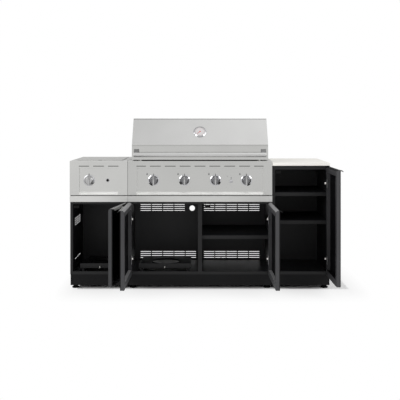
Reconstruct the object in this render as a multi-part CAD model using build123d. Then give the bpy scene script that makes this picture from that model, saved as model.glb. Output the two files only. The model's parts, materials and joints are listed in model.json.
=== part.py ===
from build123d import *
from math import atan, degrees, radians, sin, sqrt
import os

# Modular outdoor kitchen: side-burner cabinet, grill cabinet and storage cabinet in a row.
# Millimetres. X runs to the right, Y to the rear and Z up. While it is built, X = 0 is the middle
# of the grill cabinet, Y = 0 the front of the stainless aprons and Z = 0 the floor. The doors
# stand open, the hood and the burner lid are shut.

# Overall layout
worktop_height = 900.0
overall_depth = 630.0
deck_overhang = 18.0
body_overhang = 7.0
side_width = 408.0
grill_width = 1018.0
carcass_inset = 1.0
top_inset = 0.75
running_clearance = 0.05
rest_gap = 0.3

# Heights that stack up to the worktop
foot_height = 22.5
plinth_height = 76.0
fascia_height = 42.0
seam_height = 5.0
control_panel_height = 241.0
slab_thickness = 21.5
slab_drop = 12.5

# Coated steel carcass
sheet = 1.2
carcass_front = 20.0
stile_width = 19.0
frame_depth = 20.0
bottom_rail_height = 21.0
low_top_rail_height = 17.0
tall_top_rail_height = 27.0
plinth_inset = 2.0
divider_width = 29.0
shelf_thickness = 25.0
shelf_setback = 30.0
grill_shelf_level = 369.0
lower_shelf_level = 475.0
upper_shelf_drop = 192.0

# Vent slots and the hose hole
slot_length = 80.0
slot_height = 4.0
slot_pitch = 88.0
row_pitch = 15.6
vent_rows = 4
back_vent_margin = 30.0
side_vent_margin = 85.0
back_vent_offset = 31.5
back_low_vent_level = 162.0
back_high_vent_drop = 83.0
side_vent_start = 205.0
side_low_vent_level = 170.0
side_low_vent_rows = 1
side_high_vent_drop = 146.0
hose_hole_radius = 21.0
hose_hole_offset = 61.0
hose_hole_drop = 112.0

# Feet and the bolts that link the cabinets
foot_radius = 25.0
foot_pad_height = 10.0
foot_neck_radius = 12.0
foot_edge = 34.0
bolt_radius = 4.0
bolt_head_radius = 7.0
bolt_head_height = 5.0
bolt_spacer_radius = 12.0
bolt_front = 110.0
bolt_rear_margin = 105.0
bolt_low_level = 150.0
bolt_top_drop = 52.0

# Doors and their hinges
door_panel_thickness = 5.0
door_frame_thickness = 22.0
door_member_width = 42.0
door_gap = 2.0
door_reveal = 3.0
door_meeting_gap = 3.0
door_drop = 2.5
door_top_gap = 5.0
door_top_chamfer = 10.0
lip_length = 230.0
lip_reach = 19.0
lip_drop = 12.0
lip_thickness = 4.0
left_door_angle = 81.0
door_angle = 90.5
pivot_edge_offset = 8.0
pivot_depth = 4.0
hinge_pin_radius = 1.75
hinge_pin_hold = 12.0
hinge_eye_radius = 3.5
hinge_arm_thickness = 2.0
hinge_arm_height = 12.0
hinge_bar_width = 4.0
hinge_plate_height = 66.0
hinge_plate_depth = 14.0
hinge_notch_clearance = 1.5
low_hinge_level = 208.0
high_hinge_drop = 124.0
tall_hinge_drop = 125.0

# Magnetic catches
catch_length = 39.0
catch_height = 17.0
catch_depth = 14.0
catch_hang = 11.0
catch_ear = 4.0
catch_edge = 5.0
catch_divider_gap = 20.0
post_catch_width = 12.0

# Gas-cylinder trays
tray_level = 132.0
tray_sheet = 2.0
tray_lip_height = 33.0
tray_front = 80.0
tray_rear_margin = 55.0
side_tray_width = 284.0
grill_tray_width = 370.0
seat_radius = 104.0
seat_ring_height = 8.0
runner_width = 16.0
runner_inset = 12.0
thumbscrew_radius = 4.0
thumbscrew_head_radius = 8.0
thumbscrew_head_length = 9.0
thumbscrew_reach = 24.0
thumbscrew_height = 9.0

# Stainless casings and control panels
stainless = 1.2
panel_depth = 24.0
base_bar_width = 30.0
base_bar_height = 8.0
recess_depth = 16.0
recess_bottom_margin = 6.0
recess_top_margin = 52.0
grill_recess_margin = 65.0
side_recess_margin = 67.5
vent_slot_length = 76.0
vent_slot_height = 5.0
vent_slot_pitch = 104.7
vent_slot_overrun = 3.0
vent_slot_drop = 36.5
grill_vent_slots = 9
side_vent_slots = 3

# Knobs, bezels and valves
knob_drop = 137.0
knob_spacing = 218.0
side_knob_offset = -69.0
bezel_radius = 40.0
bezel_depth = 8.0
bezel_floor = 3.0
knob_radius = 33.0
knob_skirt = 7.0
knob_body_radius = 27.0
knob_body_depth = 9.0
grip_width = 13.0
grip_reach = 30.0
grip_depth = 8.0
knob_push = 4.0
knob_rear_gap = 1.0
stem_radius = 4.0
stem_flat = 3.0
stem_hole_gap = 2.0
stem_engagement = 10.0
stem_seat = 18.0
valve_front = 32.0
valve_length = 32.0
valve_width = 22.0
nozzle_radius = 4.0
nozzle_length = 10.0
manifold_size = 20.0
manifold_setback = 6.0

# Igniter buttons
button_radius = 9.0
button_proud = 6.0
button_travel = 4.0
button_length = 20.0
socket_flange_radius = 13.0
socket_flange_depth = 3.0
socket_radius = 11.5
socket_length = 20.0
main_igniter_drop = 144.0
side_igniter_offset = 62.0

# Grease tray
grease_tray_side_gap = 8.0
grease_tray_rear_margin = 52.0
grease_tray_height = 25.0
strip_depth = 22.0
strip_gap = 0.5

# Firebox and what it holds
firebox_side_margin = 54.0
firebox_front = 84.0
firebox_rear_margin = 72.0
firebox_height = 208.0
drain_width = 200.0
drain_depth = 60.0
grate_ledge_width = 8.0
grate_ledge_height = 4.0
grate_drop = 30.0
grate_thickness = 10.0
grate_gap = 2.0
grate_count = 4
grate_bar = 6.0
grate_slot = 10.0
grate_rail = 12.0
burner_radius = 12.5
burner_wall = 1.5
burner_hole_gap = 0.3
burner_overlap = 6.0
tamer_half_width = 40.0
tamer_rise = 22.0
tamer_drop = 85.0

# Hood, its handle, thermometer, pivots and bumpers
hood_side_margin = 27.0
hood_front = 29.0
hood_gap = 7.0
hood_band_height = 108.0
hood_slope_run = 145.0
hood_slope_rise = 185.0
hood_rear_run = 130.0
hood_rear_drop = 225.0
hood_tail_run = 60.0
hood_tail_margin = 52.0
hood_pivot_margin = 92.0
hood_pivot_rise = 50.0
hood_pin_radius = 4.0
hood_pin_head = 2.0
ear_thickness = 4.0
ear_half_width = 15.0
ear_gap = 1.0
bar_radius = 16.0
bar_wall = 2.0
bar_rise = 44.0
bar_stand = 43.0
bar_end_margin = 16.0
bracket_margin = 17.0
bracket_width = 33.0
bracket_top_rise = 87.0
bracket_foot_rise = 34.0
bracket_foot_depth = 10.0
bumper_radius = 6.0
bumper_margin = 63.0
thermometer_radius = 46.0
thermometer_depth = 12.0
thermometer_rim = 5.0
thermometer_dial_drop = 4.0
thermometer_stem_radius = 5.0
thermometer_stem_length = 60.0
thermometer_share = 0.476
needle_length = 32.0
needle_width = 3.0
needle_thickness = 0.8
needle_hub_radius = 4.0
needle_post_radius = 1.0
needle_rest_angle = 225.0

# Side burner
lid_half_width = 160.0
lid_front = 73.0
lid_rear_margin = 72.0
lid_proud = 2.0
lid_flange = 14.0
lid_gap = 3.0
lid_rear_gap = 12.0
lid_notch_radius = 14.0
lid_pivot_inset = 9.0
lid_pivot_drop = 7.0
lid_pin_radius = 3.0
bowl_height = 98.0
head_base_radius = 45.0
head_base_height = 10.0
head_radius = 38.0
head_height = 24.0
cap_radius = 42.0
cap_height = 6.0
feed_radius = 11.0
support_half_width = 115.0
support_bar = 10.0
support_reach = 75.0
support_drop = 16.0

# Places worked out from the sizes above
half_grill = grill_width / 2
left_edge = -half_grill - side_width
right_edge = half_grill + side_width
left_middle = left_edge + side_width / 2
plinth_top = foot_height + plinth_height
floor_top = plinth_top + sheet
panel_bottom = worktop_height - control_panel_height
low_top = panel_bottom - seam_height - fascia_height
slab_bottom = worktop_height - slab_drop - slab_thickness
body_rear = overall_depth - deck_overhang
carcass_rear = body_rear - body_overhang
back_front = carcass_rear - sheet
deck_bottom = worktop_height - stainless
knob_level = worktop_height - knob_drop
door_pivot_y = carcass_front - door_gap - door_frame_thickness + pivot_depth
grill_recess_width = grill_width - 2 * grill_recess_margin
side_recess_width = side_width - 2 * side_recess_margin
knob_places = [knob_spacing * (i - 1.5) for i in range(4)]
side_knob_x = left_middle + side_knob_offset


def block(x, y, z):
    """A box from three (low, high) pairs."""
    sizes = [high - low for low, high in (x, y, z)]
    middles = [(high + low) / 2 for low, high in (x, y, z)]
    return Pos(*middles) * Box(*sizes)


def rod_x(y, z, x, radius):
    """A round bar along X."""
    return Pos((x[0] + x[1]) / 2, y, z) * Rot(0, 90, 0) * Cylinder(radius, x[1] - x[0])


def rod_y(x, z, y, radius):
    """A round bar along Y."""
    return Pos(x, (y[0] + y[1]) / 2, z) * Rot(90, 0, 0) * Cylinder(radius, y[1] - y[0])


def rod_z(x, y, z, radius):
    """A round bar along Z."""
    return Pos(x, y, (z[0] + z[1]) / 2) * Cylinder(radius, z[1] - z[0])


def prism_x(points, x):
    """A side-view outline of (Y, Z) points carried along X."""
    face = Plane.YZ * Polygon(*points, align=None)
    return Pos(x[0], 0, 0) * extrude(face, amount=x[1] - x[0], dir=(1, 0, 0))


def carcass_span(low, high):
    """Outer sides of a cabinet between two module lines."""
    return (low + carcass_inset, high - carcass_inset)


def top_span(low, high):
    """Outer sides of a top or an apron between two module lines."""
    return (low + top_inset, high - top_inset)


left_span = carcass_span(left_edge, -half_grill)
grill_span = carcass_span(-half_grill, half_grill)
storage_span = carcass_span(half_grill, right_edge)
left_top_span = top_span(left_edge, -half_grill)
grill_top_span = top_span(-half_grill, half_grill)
storage_top_span = top_span(half_grill, right_edge)


def hollow_channel(x, y, z, wall):
    """Folded channel with closed ends, open to the rear."""
    inside = block((x[0] + wall, x[1] - wall), (y[0] + wall, y[1]), (z[0] + wall, z[1] - wall))
    return block(x, y, z) - inside


def face_frame(span, top, top_rail):
    """Two stiles and two rails round the front opening of a cabinet."""
    y = (carcass_front, carcass_front + frame_depth)
    inner = (span[0] + stile_width, span[1] - stile_width)
    return [
        hollow_channel((span[0], inner[0]), y, (plinth_top, top), sheet),
        hollow_channel((inner[1], span[1]), y, (plinth_top, top), sheet),
        hollow_channel(inner, y, (plinth_top, plinth_top + bottom_rail_height), sheet),
        hollow_channel(inner, y, (top - top_rail, top), sheet),
    ]


def side_panels(span, top):
    """Left and right sheet-steel sides of a cabinet."""
    y = (carcass_front + frame_depth, back_front)
    z = (plinth_top, top)
    return [block((span[0], span[0] + sheet), y, z), block((span[1] - sheet, span[1]), y, z)]


def floor_panel(span):
    """Cabinet floor between the sides."""
    y = (carcass_front + frame_depth, back_front)
    return block((span[0] + sheet, span[1] - sheet), y, (plinth_top, floor_top))


def back_panel(span, top):
    """Sheet-steel back of a cabinet."""
    return block(span, (back_front, carcass_rear), (plinth_top, top))


def welded_tub(x, y, z, wall):
    """Open tub of plates: the floor, the front, the rear and the two sides between them."""
    walls_z = (z[0] + wall, z[1])
    inner_y = (y[0] + wall, y[1] - wall)
    return [
        block(x, y, (z[0], walls_z[0])),
        block(x, (y[0], inner_y[0]), walls_z),
        block(x, (inner_y[1], y[1]), walls_z),
        block((x[0], x[0] + wall), inner_y, walls_z),
        block((x[1] - wall, x[1]), inner_y, walls_z),
    ]


def plinth(span):
    """Base tub that the cabinet floor closes."""
    x = (span[0] + plinth_inset, span[1] - plinth_inset)
    y = (carcass_front + plinth_inset, carcass_rear)
    return welded_tub(x, y, (foot_height, plinth_top), sheet)


def feet(span):
    """Four levelling feet of a cabinet: a round pad and a neck."""
    result = []
    for x in (span[0] + foot_edge, span[1] - foot_edge):
        for y in (carcass_front + foot_edge, carcass_rear - foot_edge):
            pad = rod_z(x, y, (0, foot_pad_height), foot_radius)
            neck = rod_z(x, y, (foot_pad_height, foot_height), foot_neck_radius)
            result.append(pad + neck)
    return result


def slot_rows(top_level, rows):
    """Heights of the middles of a vent's rows, from its top row down."""
    return [top_level - row_pitch * i for i in range(rows)]


def shelf(x, level):
    """Folded shelf pan with its flanges down."""
    y = (carcass_front + shelf_setback, back_front)
    pan = block(x, y, (level - shelf_thickness, level))
    inside = block(
        (x[0] + sheet, x[1] - sheet),
        (y[0] + sheet, y[1] - sheet),
        (level - shelf_thickness, level - sheet),
    )
    return pan - inside


def vented_left_side(panel):
    """Outer left side with two fields of slots."""
    high_rows = slot_rows(low_top - side_high_vent_drop, vent_rows)
    first = carcass_front + side_vent_start
    for level in high_rows + slot_rows(side_low_vent_level, side_low_vent_rows):
        for column in range(int((carcass_rear - side_vent_margin - first) // slot_pitch)):
            start = first + slot_pitch * column
            panel -= block(
                (left_span[0] - sheet, left_span[0] + 2 * sheet),
                (start, start + slot_length),
                (level - slot_height / 2, level + slot_height / 2),
            )
    return panel


def back_slots(columns, levels, side):
    """Slots through the grill cabinet's back, to the right (side 1) or left (side -1) of the divider."""
    result = []
    for level in levels:
        for column in columns:
            near = back_vent_offset + slot_pitch * column
            ends = sorted((side * near, side * (near + slot_length)))
            result.append(
                block(
                    ends,
                    (back_front - sheet, carcass_rear + sheet),
                    (level - slot_height / 2, level + slot_height / 2),
                )
            )
    return result


def grill_back():
    """Grill cabinet back with four fields of slots and the round hose hole."""
    low_rows = slot_rows(back_low_vent_level, vent_rows)
    high_rows = slot_rows(low_top - back_high_vent_drop, vent_rows)
    room = grill_span[1] - back_vent_margin - back_vent_offset
    columns = range(int(room // slot_pitch))
    cuts = back_slots(columns, low_rows + high_rows, 1)
    cuts += back_slots(columns, low_rows, -1)
    cuts += back_slots(columns[1:], high_rows, -1)
    through = (back_front - sheet, carcass_rear + sheet)
    cuts.append(rod_y(-hose_hole_offset, low_top - hose_hole_drop, through, hose_hole_radius))
    return back_panel(grill_span, low_top) - cuts


def divider():
    """Front post and the panel behind it."""
    post = hollow_channel(
        (-divider_width / 2, divider_width / 2),
        (carcass_front, carcass_front + frame_depth),
        (plinth_top + bottom_rail_height, low_top - low_top_rail_height),
        sheet,
    )
    web = block((-sheet / 2, sheet / 2), (carcass_front + frame_depth, back_front), (floor_top, low_top))
    return [post, web]


def link_places():
    """Side, depth and height of every bolt that links two cabinets."""
    return [
        (x, y, z)
        for x in (-half_grill, half_grill)
        for y in (bolt_front, carcass_rear - bolt_rear_margin)
        for z in (bolt_low_level, low_top - bolt_top_drop)
    ]


def link_bolt(x, y, z):
    """Bolt with its spacer between two cabinet sides, a head in one and a nut in the other."""
    reach = carcass_inset + sheet
    bolt = rod_x(y, z, (x - carcass_inset, x + carcass_inset), bolt_spacer_radius)
    bolt += rod_x(y, z, (x - reach, x + reach), bolt_radius)
    for inner, outer in ((reach, reach + bolt_head_height), (-reach - bolt_head_height, -reach)):
        bolt += rod_x(y, z, (x + inner, x + outer), bolt_head_radius)
    return bolt


def drilled_for_bolts(panel):
    """A cabinet side with the holes of the bolts that pass it."""
    reach = carcass_inset + sheet
    holes = [
        rod_x(y, z, (x - 2 * reach, x + 2 * reach), bolt_radius + running_clearance)
        for x, y, z in link_places()
    ]
    return panel - holes


def catch_under(x_low, rail):
    """Magnetic catch hung by two ears under a rail at the given height."""
    y = (carcass_front, carcass_front + catch_depth)
    x_high = x_low + catch_length
    body = block((x_low, x_high), y, (rail - catch_hang - catch_height, rail - catch_hang))
    for ear in ((x_low, x_low + catch_ear), (x_high - catch_ear, x_high)):
        body += block(ear, y, (rail - catch_hang, rail))
    return body


def post_catch():
    """Magnetic catch on the left side of the divider post."""
    high = low_top - low_top_rail_height - catch_hang
    return block(
        (-divider_width / 2 - post_catch_width, -divider_width / 2),
        (carcass_front, carcass_front + catch_depth),
        (high - catch_length, high),
    )


# Doors. Each is built shut round its hinge axis: u runs along the door from the axis to the free
# edge, v to the rear, and side is 1 for a hinge at the left and -1 for one at the right.
panel_back_v = -pivot_depth
panel_front_v = -pivot_depth - door_panel_thickness
frame_back_v = door_frame_thickness - pivot_depth
carcass_v = carcass_front - door_pivot_y
hinge_arm_reach = carcass_inset + stile_width - door_reveal - pivot_edge_offset + hinge_arm_thickness
hinge_notch_height = hinge_arm_height + 2 * hinge_notch_clearance
side_door_width = side_width - 2 * door_reveal
grill_door_width = half_grill - door_reveal - door_meeting_gap / 2
door_bottom = plinth_top - door_drop
low_door_top = low_top - door_top_gap
tall_door_top = slab_bottom - door_top_gap
lip_sweep = 2 * degrees(atan(lip_drop / lip_reach))
lip_radius = lip_reach / sin(radians(lip_sweep))
low_hinges = (low_hinge_level, low_top - high_hinge_drop)
tall_hinges = (low_hinge_level, slab_bottom - tall_hinge_drop)

# Name, hinge side, module line at the hinge, width, top, opening angle and hinge heights
doors = [
    ("left_door", -1, -half_grill, side_door_width, low_door_top, left_door_angle, low_hinges),
    ("grill_left_door", 1, -half_grill, grill_door_width, low_door_top, door_angle, low_hinges),
    ("grill_right_door", -1, half_grill, grill_door_width, low_door_top, door_angle, low_hinges),
    ("storage_door", -1, right_edge, side_door_width, tall_door_top, door_angle, tall_hinges),
]


def door_pivot_x(side, line):
    """Where a door's hinge axis stands along X."""
    return line + side * (door_reveal + pivot_edge_offset)


def door_block(side, u, v, z):
    """A box in a door's own u and v."""
    return block(sorted((side * u[0], side * u[1])), v, z)


def door_panel(side, width, top):
    """Front panel with the finger lip curled out of its top edge at the free end."""
    free = width - pivot_edge_offset
    panel = door_block(side, (-pivot_edge_offset, free), (panel_front_v, panel_back_v), (door_bottom, top))
    middle = (panel_front_v, top - lip_radius)
    outer = CenterArc(middle, lip_radius, 90, lip_sweep)
    inner = CenterArc(middle, lip_radius - lip_thickness, 90, lip_sweep)
    outline = make_face([outer, Line(outer @ 1, inner @ 1), inner, Line(inner @ 0, outer @ 0)])
    ends = sorted((side * (free - lip_length), side * free))
    lip = Pos(ends[0], 0, 0) * extrude(Plane.YZ * outline, amount=lip_length, dir=(1, 0, 0))
    return panel + lip


def door_frame(side, width, top, hinge_levels):
    """Rear frame of two stiles and two rails, notched and bored for the hinges."""
    free = width - pivot_edge_offset
    v = (panel_back_v, frame_back_v)
    z = (door_bottom, top)
    hinge_inner = door_member_width - pivot_edge_offset
    free_inner = free - door_member_width
    hinge_stile = door_block(side, (-pivot_edge_offset, hinge_inner), v, z)
    for level in hinge_levels:
        half = hinge_notch_height / 2
        notch_end = hinge_arm_reach + hinge_notch_clearance
        hinge_stile -= door_block(side, (-pivot_edge_offset, notch_end), v, (level - half, level + half))
        reach = half + hinge_pin_hold + rest_gap
        hinge_stile -= rod_z(0, 0, (level - reach, level + reach), hinge_pin_radius + running_clearance)
    members = [
        hinge_stile,
        door_block(side, (free_inner, free), v, z),
        door_block(side, (hinge_inner, free_inner), v, (door_bottom, door_bottom + door_member_width)),
        door_block(side, (hinge_inner, free_inner), v, (top - door_member_width, top)),
    ]
    bevel = [
        (frame_back_v, top - door_top_chamfer),
        (frame_back_v, top),
        (frame_back_v - door_top_chamfer, top),
    ]
    ends = sorted((-side * pivot_edge_offset, side * free))
    return [member - prism_x(bevel, ends) for member in members]


def hinge_arm(side, level):
    """Fixed hinge half: a plate on the stile, a neck and an eye round the pin."""
    half = hinge_arm_height / 2
    z = (level - half, level + half)
    bar = (-hinge_bar_width / 2, hinge_bar_width / 2)
    u = (hinge_arm_reach - hinge_arm_thickness, hinge_arm_reach)
    plate_v = (carcass_v, carcass_v + hinge_plate_depth)
    plate_z = (level - hinge_plate_height / 2, level + hinge_plate_height / 2)
    arm = rod_z(0, 0, z, hinge_eye_radius)
    arm += door_block(side, (0, hinge_arm_reach), bar, z)
    arm += door_block(side, u, (bar[0], plate_v[1]), z)
    arm += door_block(side, u, plate_v, plate_z)
    return arm - rod_z(0, 0, z, hinge_pin_radius + running_clearance)


def hinge_pin(level):
    """Pin that runs through the eye into the door's stile."""
    reach = hinge_notch_height / 2 + hinge_pin_hold
    return rod_z(0, 0, (level - reach, level + reach), hinge_pin_radius)


def build_doors():
    """Every door opened round its axis, with the fixed hinge halves and the pins."""
    result = {}
    arms = []
    pins = []
    for name, side, line, width, top, angle, hinge_levels in doors:
        axis = Pos(door_pivot_x(side, line), door_pivot_y, 0)
        opened = axis * Rot(0, 0, -side * angle)
        result[name + "_panel"] = [opened * door_panel(side, width, top)]
        result[name + "_frame"] = [opened * member for member in door_frame(side, width, top, hinge_levels)]
        arms += [axis * hinge_arm(side, level) for level in hinge_levels]
        pins += [axis * hinge_pin(level) for level in hinge_levels]
    return result, arms, pins


# Gas-cylinder trays
tray_rear = carcass_rear - tray_rear_margin
seat_y = (tray_front + tray_rear) / 2
tray_screw_level = tray_level + thumbscrew_height
grill_tray_middle = (grill_span[0] + stile_width - divider_width / 2) / 2


def cylinder_tray(middle, width):
    """Tray plate with a front lip, a ring for the cylinder's foot and a thumbscrew."""
    x = (middle - width / 2, middle + width / 2)
    y = (tray_front, tray_rear)
    top = tray_level + tray_sheet
    tray = block(x, y, (tray_level, top))
    tray += block(x, (tray_front, tray_front + tray_sheet), (tray_level, tray_level + tray_lip_height))
    tray += rod_z(middle, seat_y, (tray_level, top + seat_ring_height), seat_radius + tray_sheet)
    tray -= rod_z(middle, seat_y, (tray_level, top + seat_ring_height), seat_radius)
    hole = thumbscrew_radius + running_clearance
    tray -= rod_y(middle, tray_screw_level, (tray_front, tray_front + tray_sheet), hole)
    screw = rod_y(middle, tray_screw_level, (tray_front, tray_front + thumbscrew_reach), thumbscrew_radius)
    head = (tray_front - thumbscrew_head_length, tray_front)
    screw += rod_y(middle, tray_screw_level, head, thumbscrew_head_radius)
    return [tray, screw]


def tray_runners(middle, width):
    """Two runners on the cabinet floor that carry a tray."""
    y = (tray_front + runner_inset, tray_rear)
    z = (floor_top, tray_level - rest_gap)
    near = middle - width / 2 + runner_inset
    far = middle + width / 2 - runner_inset
    return [block((near, near + runner_width), y, z), block((far - runner_width, far), y, z)]


# Stainless casings and control panels
recess_bottom = panel_bottom + recess_bottom_margin
recess_top = worktop_height - recess_top_margin
strip_top = low_top + fascia_height


def control_panel(span, recess_width, slot_count, holes):
    """Folded control panel with a sunk field, a sloped ledge below it and slots above it."""
    middle = (span[0] + span[1]) / 2
    half = recess_width / 2
    outer = block(span, (0, panel_depth), (panel_bottom, worktop_height))
    cavity = block(
        (span[0] + stainless, span[1] - stainless),
        (stainless, panel_depth),
        (panel_bottom + stainless, worktop_height - stainless),
    )
    wall = stainless * sqrt(2)
    sunk = [
        (-stainless, recess_bottom - stainless),
        (recess_depth, recess_bottom + recess_depth),
        (recess_depth, recess_top),
        (-stainless, recess_top),
    ]
    grown_depth = recess_depth + stainless
    grown = [
        (-stainless, recess_bottom - stainless - wall),
        (grown_depth, recess_bottom + grown_depth - wall),
        (grown_depth, recess_top + stainless),
        (-stainless, recess_top + stainless),
    ]
    cavity -= prism_x(grown, (middle - half - stainless, middle + half + stainless))
    panel = outer - cavity - prism_x(sunk, (middle - half, middle + half))
    slot_level = worktop_height - vent_slot_drop
    slot_reach = half + vent_slot_overrun
    cuts = []
    for i in range(slot_count):
        # The outermost slots end just past the sunk field, so they are shorter
        place = middle + vent_slot_pitch * (i - (slot_count - 1) / 2)
        left = max(place - vent_slot_length / 2, middle - slot_reach)
        right = min(place + vent_slot_length / 2, middle + slot_reach)
        if right - left < vent_slot_height:
            continue
        cuts.append(
            block(
                (left, right),
                (-stainless, 2 * stainless),
                (slot_level - vent_slot_height / 2, slot_level + vent_slot_height / 2),
            )
        )
    for x, z, radius in holes:
        cuts.append(rod_y(x, z, (0, panel_depth), radius))
    return panel - cuts


def casing(span):
    """Folded sides and back, with a base bar along each side."""
    y = (panel_depth, body_rear)
    z = (low_top, deck_bottom)
    shell = block((span[0], span[0] + stainless), y, z)
    shell += block((span[1] - stainless, span[1]), y, z)
    shell += block(span, (body_rear - stainless, body_rear), z)
    bar_z = (low_top, low_top + base_bar_height)
    shell += block((span[0], span[0] + base_bar_width), y, bar_z)
    shell += block((span[1] - base_bar_width, span[1]), y, bar_z)
    return shell


def deck(span, opening_x, opening_y):
    """Top sheet with an opening."""
    z = (deck_bottom, worktop_height)
    return block(span, (panel_depth, overall_depth), z) - block(opening_x, opening_y, z)


def grease_tray():
    """Grease pan with the lower front strip as its handle."""
    half = grill_top_span[1] - stainless - grease_tray_side_gap
    bottom = low_top + base_bar_height + rest_gap
    y = (stainless, body_rear - grease_tray_rear_margin)
    pan = block((-half, half), y, (bottom, bottom + grease_tray_height))
    pan -= block(
        (-half + stainless, half - stainless),
        (y[0] + stainless, y[1] - stainless),
        (bottom + stainless, bottom + grease_tray_height),
    )
    strip = hollow_channel(grill_top_span, (0, strip_depth), (low_top + strip_gap, strip_top), stainless)
    return strip + pan


# Knobs, bezels, valves and igniters
knob_rear = recess_depth - bezel_floor - knob_push - knob_rear_gap
stem_tip = knob_rear - stem_engagement
valve_rear = valve_front + valve_length
burner_start = valve_rear + nozzle_length - burner_overlap
socket_front = recess_depth - socket_flange_depth
button_front = socket_front - button_proud
main_igniter = (knob_spacing, worktop_height - main_igniter_drop)
side_igniter = (left_middle + side_igniter_offset, knob_level)


def bezel(x):
    """Dished bezel round a knob."""
    disc = rod_y(x, knob_level, (recess_depth - bezel_depth, recess_depth), bezel_radius)
    dish = (recess_depth - bezel_depth, recess_depth - bezel_floor)
    disc -= rod_y(x, knob_level, dish, knob_radius + stem_hole_gap)
    return disc - rod_y(x, knob_level, (0, recess_depth), stem_radius + stem_hole_gap)


def d_shaft(x, y, radius, flat):
    """Round bar along Y with a flat on top."""
    cut = block((x - radius, x + radius), y, (knob_level + flat, knob_level + 2 * radius))
    return rod_y(x, knob_level, y, radius) - cut


def knob(x):
    """Knob with a skirt, a body and a grip bar, bored for its stem."""
    skirt_front = knob_rear - knob_skirt
    body_front = skirt_front - knob_body_depth
    grip_front = body_front - grip_depth
    solid = rod_y(x, knob_level, (skirt_front, knob_rear), knob_radius)
    solid += rod_y(x, knob_level, (body_front, skirt_front), knob_body_radius)
    solid += block(
        (x - grip_width / 2, x + grip_width / 2),
        (grip_front, skirt_front),
        (knob_level - grip_reach, knob_level + grip_reach),
    )
    bore = (stem_tip - knob_push - knob_rear_gap, knob_rear)
    return solid - d_shaft(x, bore, stem_radius + running_clearance, stem_flat + running_clearance)


def stem(x):
    """Valve stem from the valve into the knob."""
    return d_shaft(x, (stem_tip, valve_front + stem_seat), stem_radius, stem_flat)


def valve(x):
    """Valve body on the manifold, with its nozzle."""
    half = valve_width / 2
    body = block((x - half, x + half), (valve_front, valve_rear), (knob_level - half, knob_level + half))
    body += rod_y(x, knob_level, (valve_rear, valve_rear + nozzle_length), nozzle_radius)
    seat = (valve_front, valve_front + stem_seat + knob_rear_gap)
    return body - rod_y(x, knob_level, seat, stem_radius + running_clearance)


def manifold(span):
    """Square gas bar between the two sides of a casing."""
    y = valve_front + manifold_setback
    z = knob_level - valve_width / 2
    return block((span[0] + stainless, span[1] - stainless), (y, y + manifold_size), (z - manifold_size, z))


def igniter_socket(place):
    """Flanged socket that guides an igniter button."""
    x, z = place
    socket = rod_y(x, z, (socket_front, recess_depth), socket_flange_radius)
    socket += rod_y(x, z, (recess_depth, recess_depth + socket_length), socket_radius)
    bottom = button_front + button_length + button_travel + knob_rear_gap
    return socket - rod_y(x, z, (socket_front, bottom), button_radius + running_clearance)


def igniter_button(place):
    """Push button of an igniter."""
    return rod_y(place[0], place[1], (button_front, button_front + button_length), button_radius)


# Firebox and what it holds
firebox_half_width = half_grill - firebox_side_margin
firebox_rear = body_rear - firebox_rear_margin
firebox_inside = (firebox_front + stainless, firebox_rear - stainless)
firebox_half_inside = firebox_half_width - stainless
grate_level = worktop_height - grate_drop
tamer_level = worktop_height - tamer_drop


def firebox():
    """Open tub under the deck with burner holes, a drain and two grate ledges."""
    bottom = deck_bottom - firebox_height
    half = firebox_half_width
    tub = block((-half, half), (firebox_front, firebox_rear), (bottom, deck_bottom))
    inner_x = (-firebox_half_inside, firebox_half_inside)
    tub -= block(inner_x, firebox_inside, (bottom + stainless, deck_bottom))
    middle = (firebox_front + firebox_rear) / 2
    drain_y = (middle - drain_depth / 2, middle + drain_depth / 2)
    tub -= block((-drain_width / 2, drain_width / 2), drain_y, (bottom, bottom + stainless))
    ledge_z = (grate_level - grate_ledge_height, grate_level)
    tub += block(inner_x, (firebox_inside[0], firebox_inside[0] + grate_ledge_width), ledge_z)
    tub += block(inner_x, (firebox_inside[1] - grate_ledge_width, firebox_inside[1]), ledge_z)
    hole = burner_radius + burner_hole_gap
    return tub - [rod_y(x, knob_level, (firebox_front, firebox_inside[0]), hole) for x in knob_places]


def cooking_grates():
    """Slotted grates side by side on the ledges."""
    room = 2 * firebox_half_inside - grate_gap * (grate_count + 1)
    width = room / grate_count
    y = (firebox_inside[0] + grate_gap, firebox_inside[1] - grate_gap)
    z = (grate_level, grate_level + grate_thickness)
    slots = int((width - 2 * grate_rail + grate_bar) // (grate_bar + grate_slot))
    slot_run = (y[1] - y[0] - 3 * grate_rail) / 2
    result = []
    for i in range(grate_count):
        low = -firebox_half_inside + grate_gap + i * (width + grate_gap)
        first = low + (width - slots * grate_slot - (slots - 1) * grate_bar) / 2
        cuts = []
        for j in range(slots):
            x = first + j * (grate_slot + grate_bar)
            for start in (y[0] + grate_rail, y[0] + 2 * grate_rail + slot_run):
                cuts.append(block((x, x + grate_slot), (start, start + slot_run), z))
        result.append(block((low, low + width), y, z) - cuts)
    return result


def burner_tube(x):
    """Burner tube from the valve's nozzle to the firebox's rear wall."""
    end = firebox_inside[1]
    tube = rod_y(x, knob_level, (burner_start, end), burner_radius)
    return tube - rod_y(x, knob_level, (burner_start, end - burner_wall), burner_radius - burner_wall)


def flame_tamer(x):
    """Folded roof of sheet over a burner."""
    half = tamer_half_width
    drop = stainless * sqrt(half**2 + tamer_rise**2) / half
    foot = half - drop * half / tamer_rise
    points = [(-half, 0), (0, tamer_rise), (half, 0), (foot, 0), (0, tamer_rise - drop), (-foot, 0)]
    length = firebox_inside[1] - firebox_inside[0]
    roof = extrude(Plane.XZ * Polygon(*points, align=None), amount=length, dir=(0, 1, 0))
    return Pos(x, firebox_inside[0], tamer_level) * roof


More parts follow.
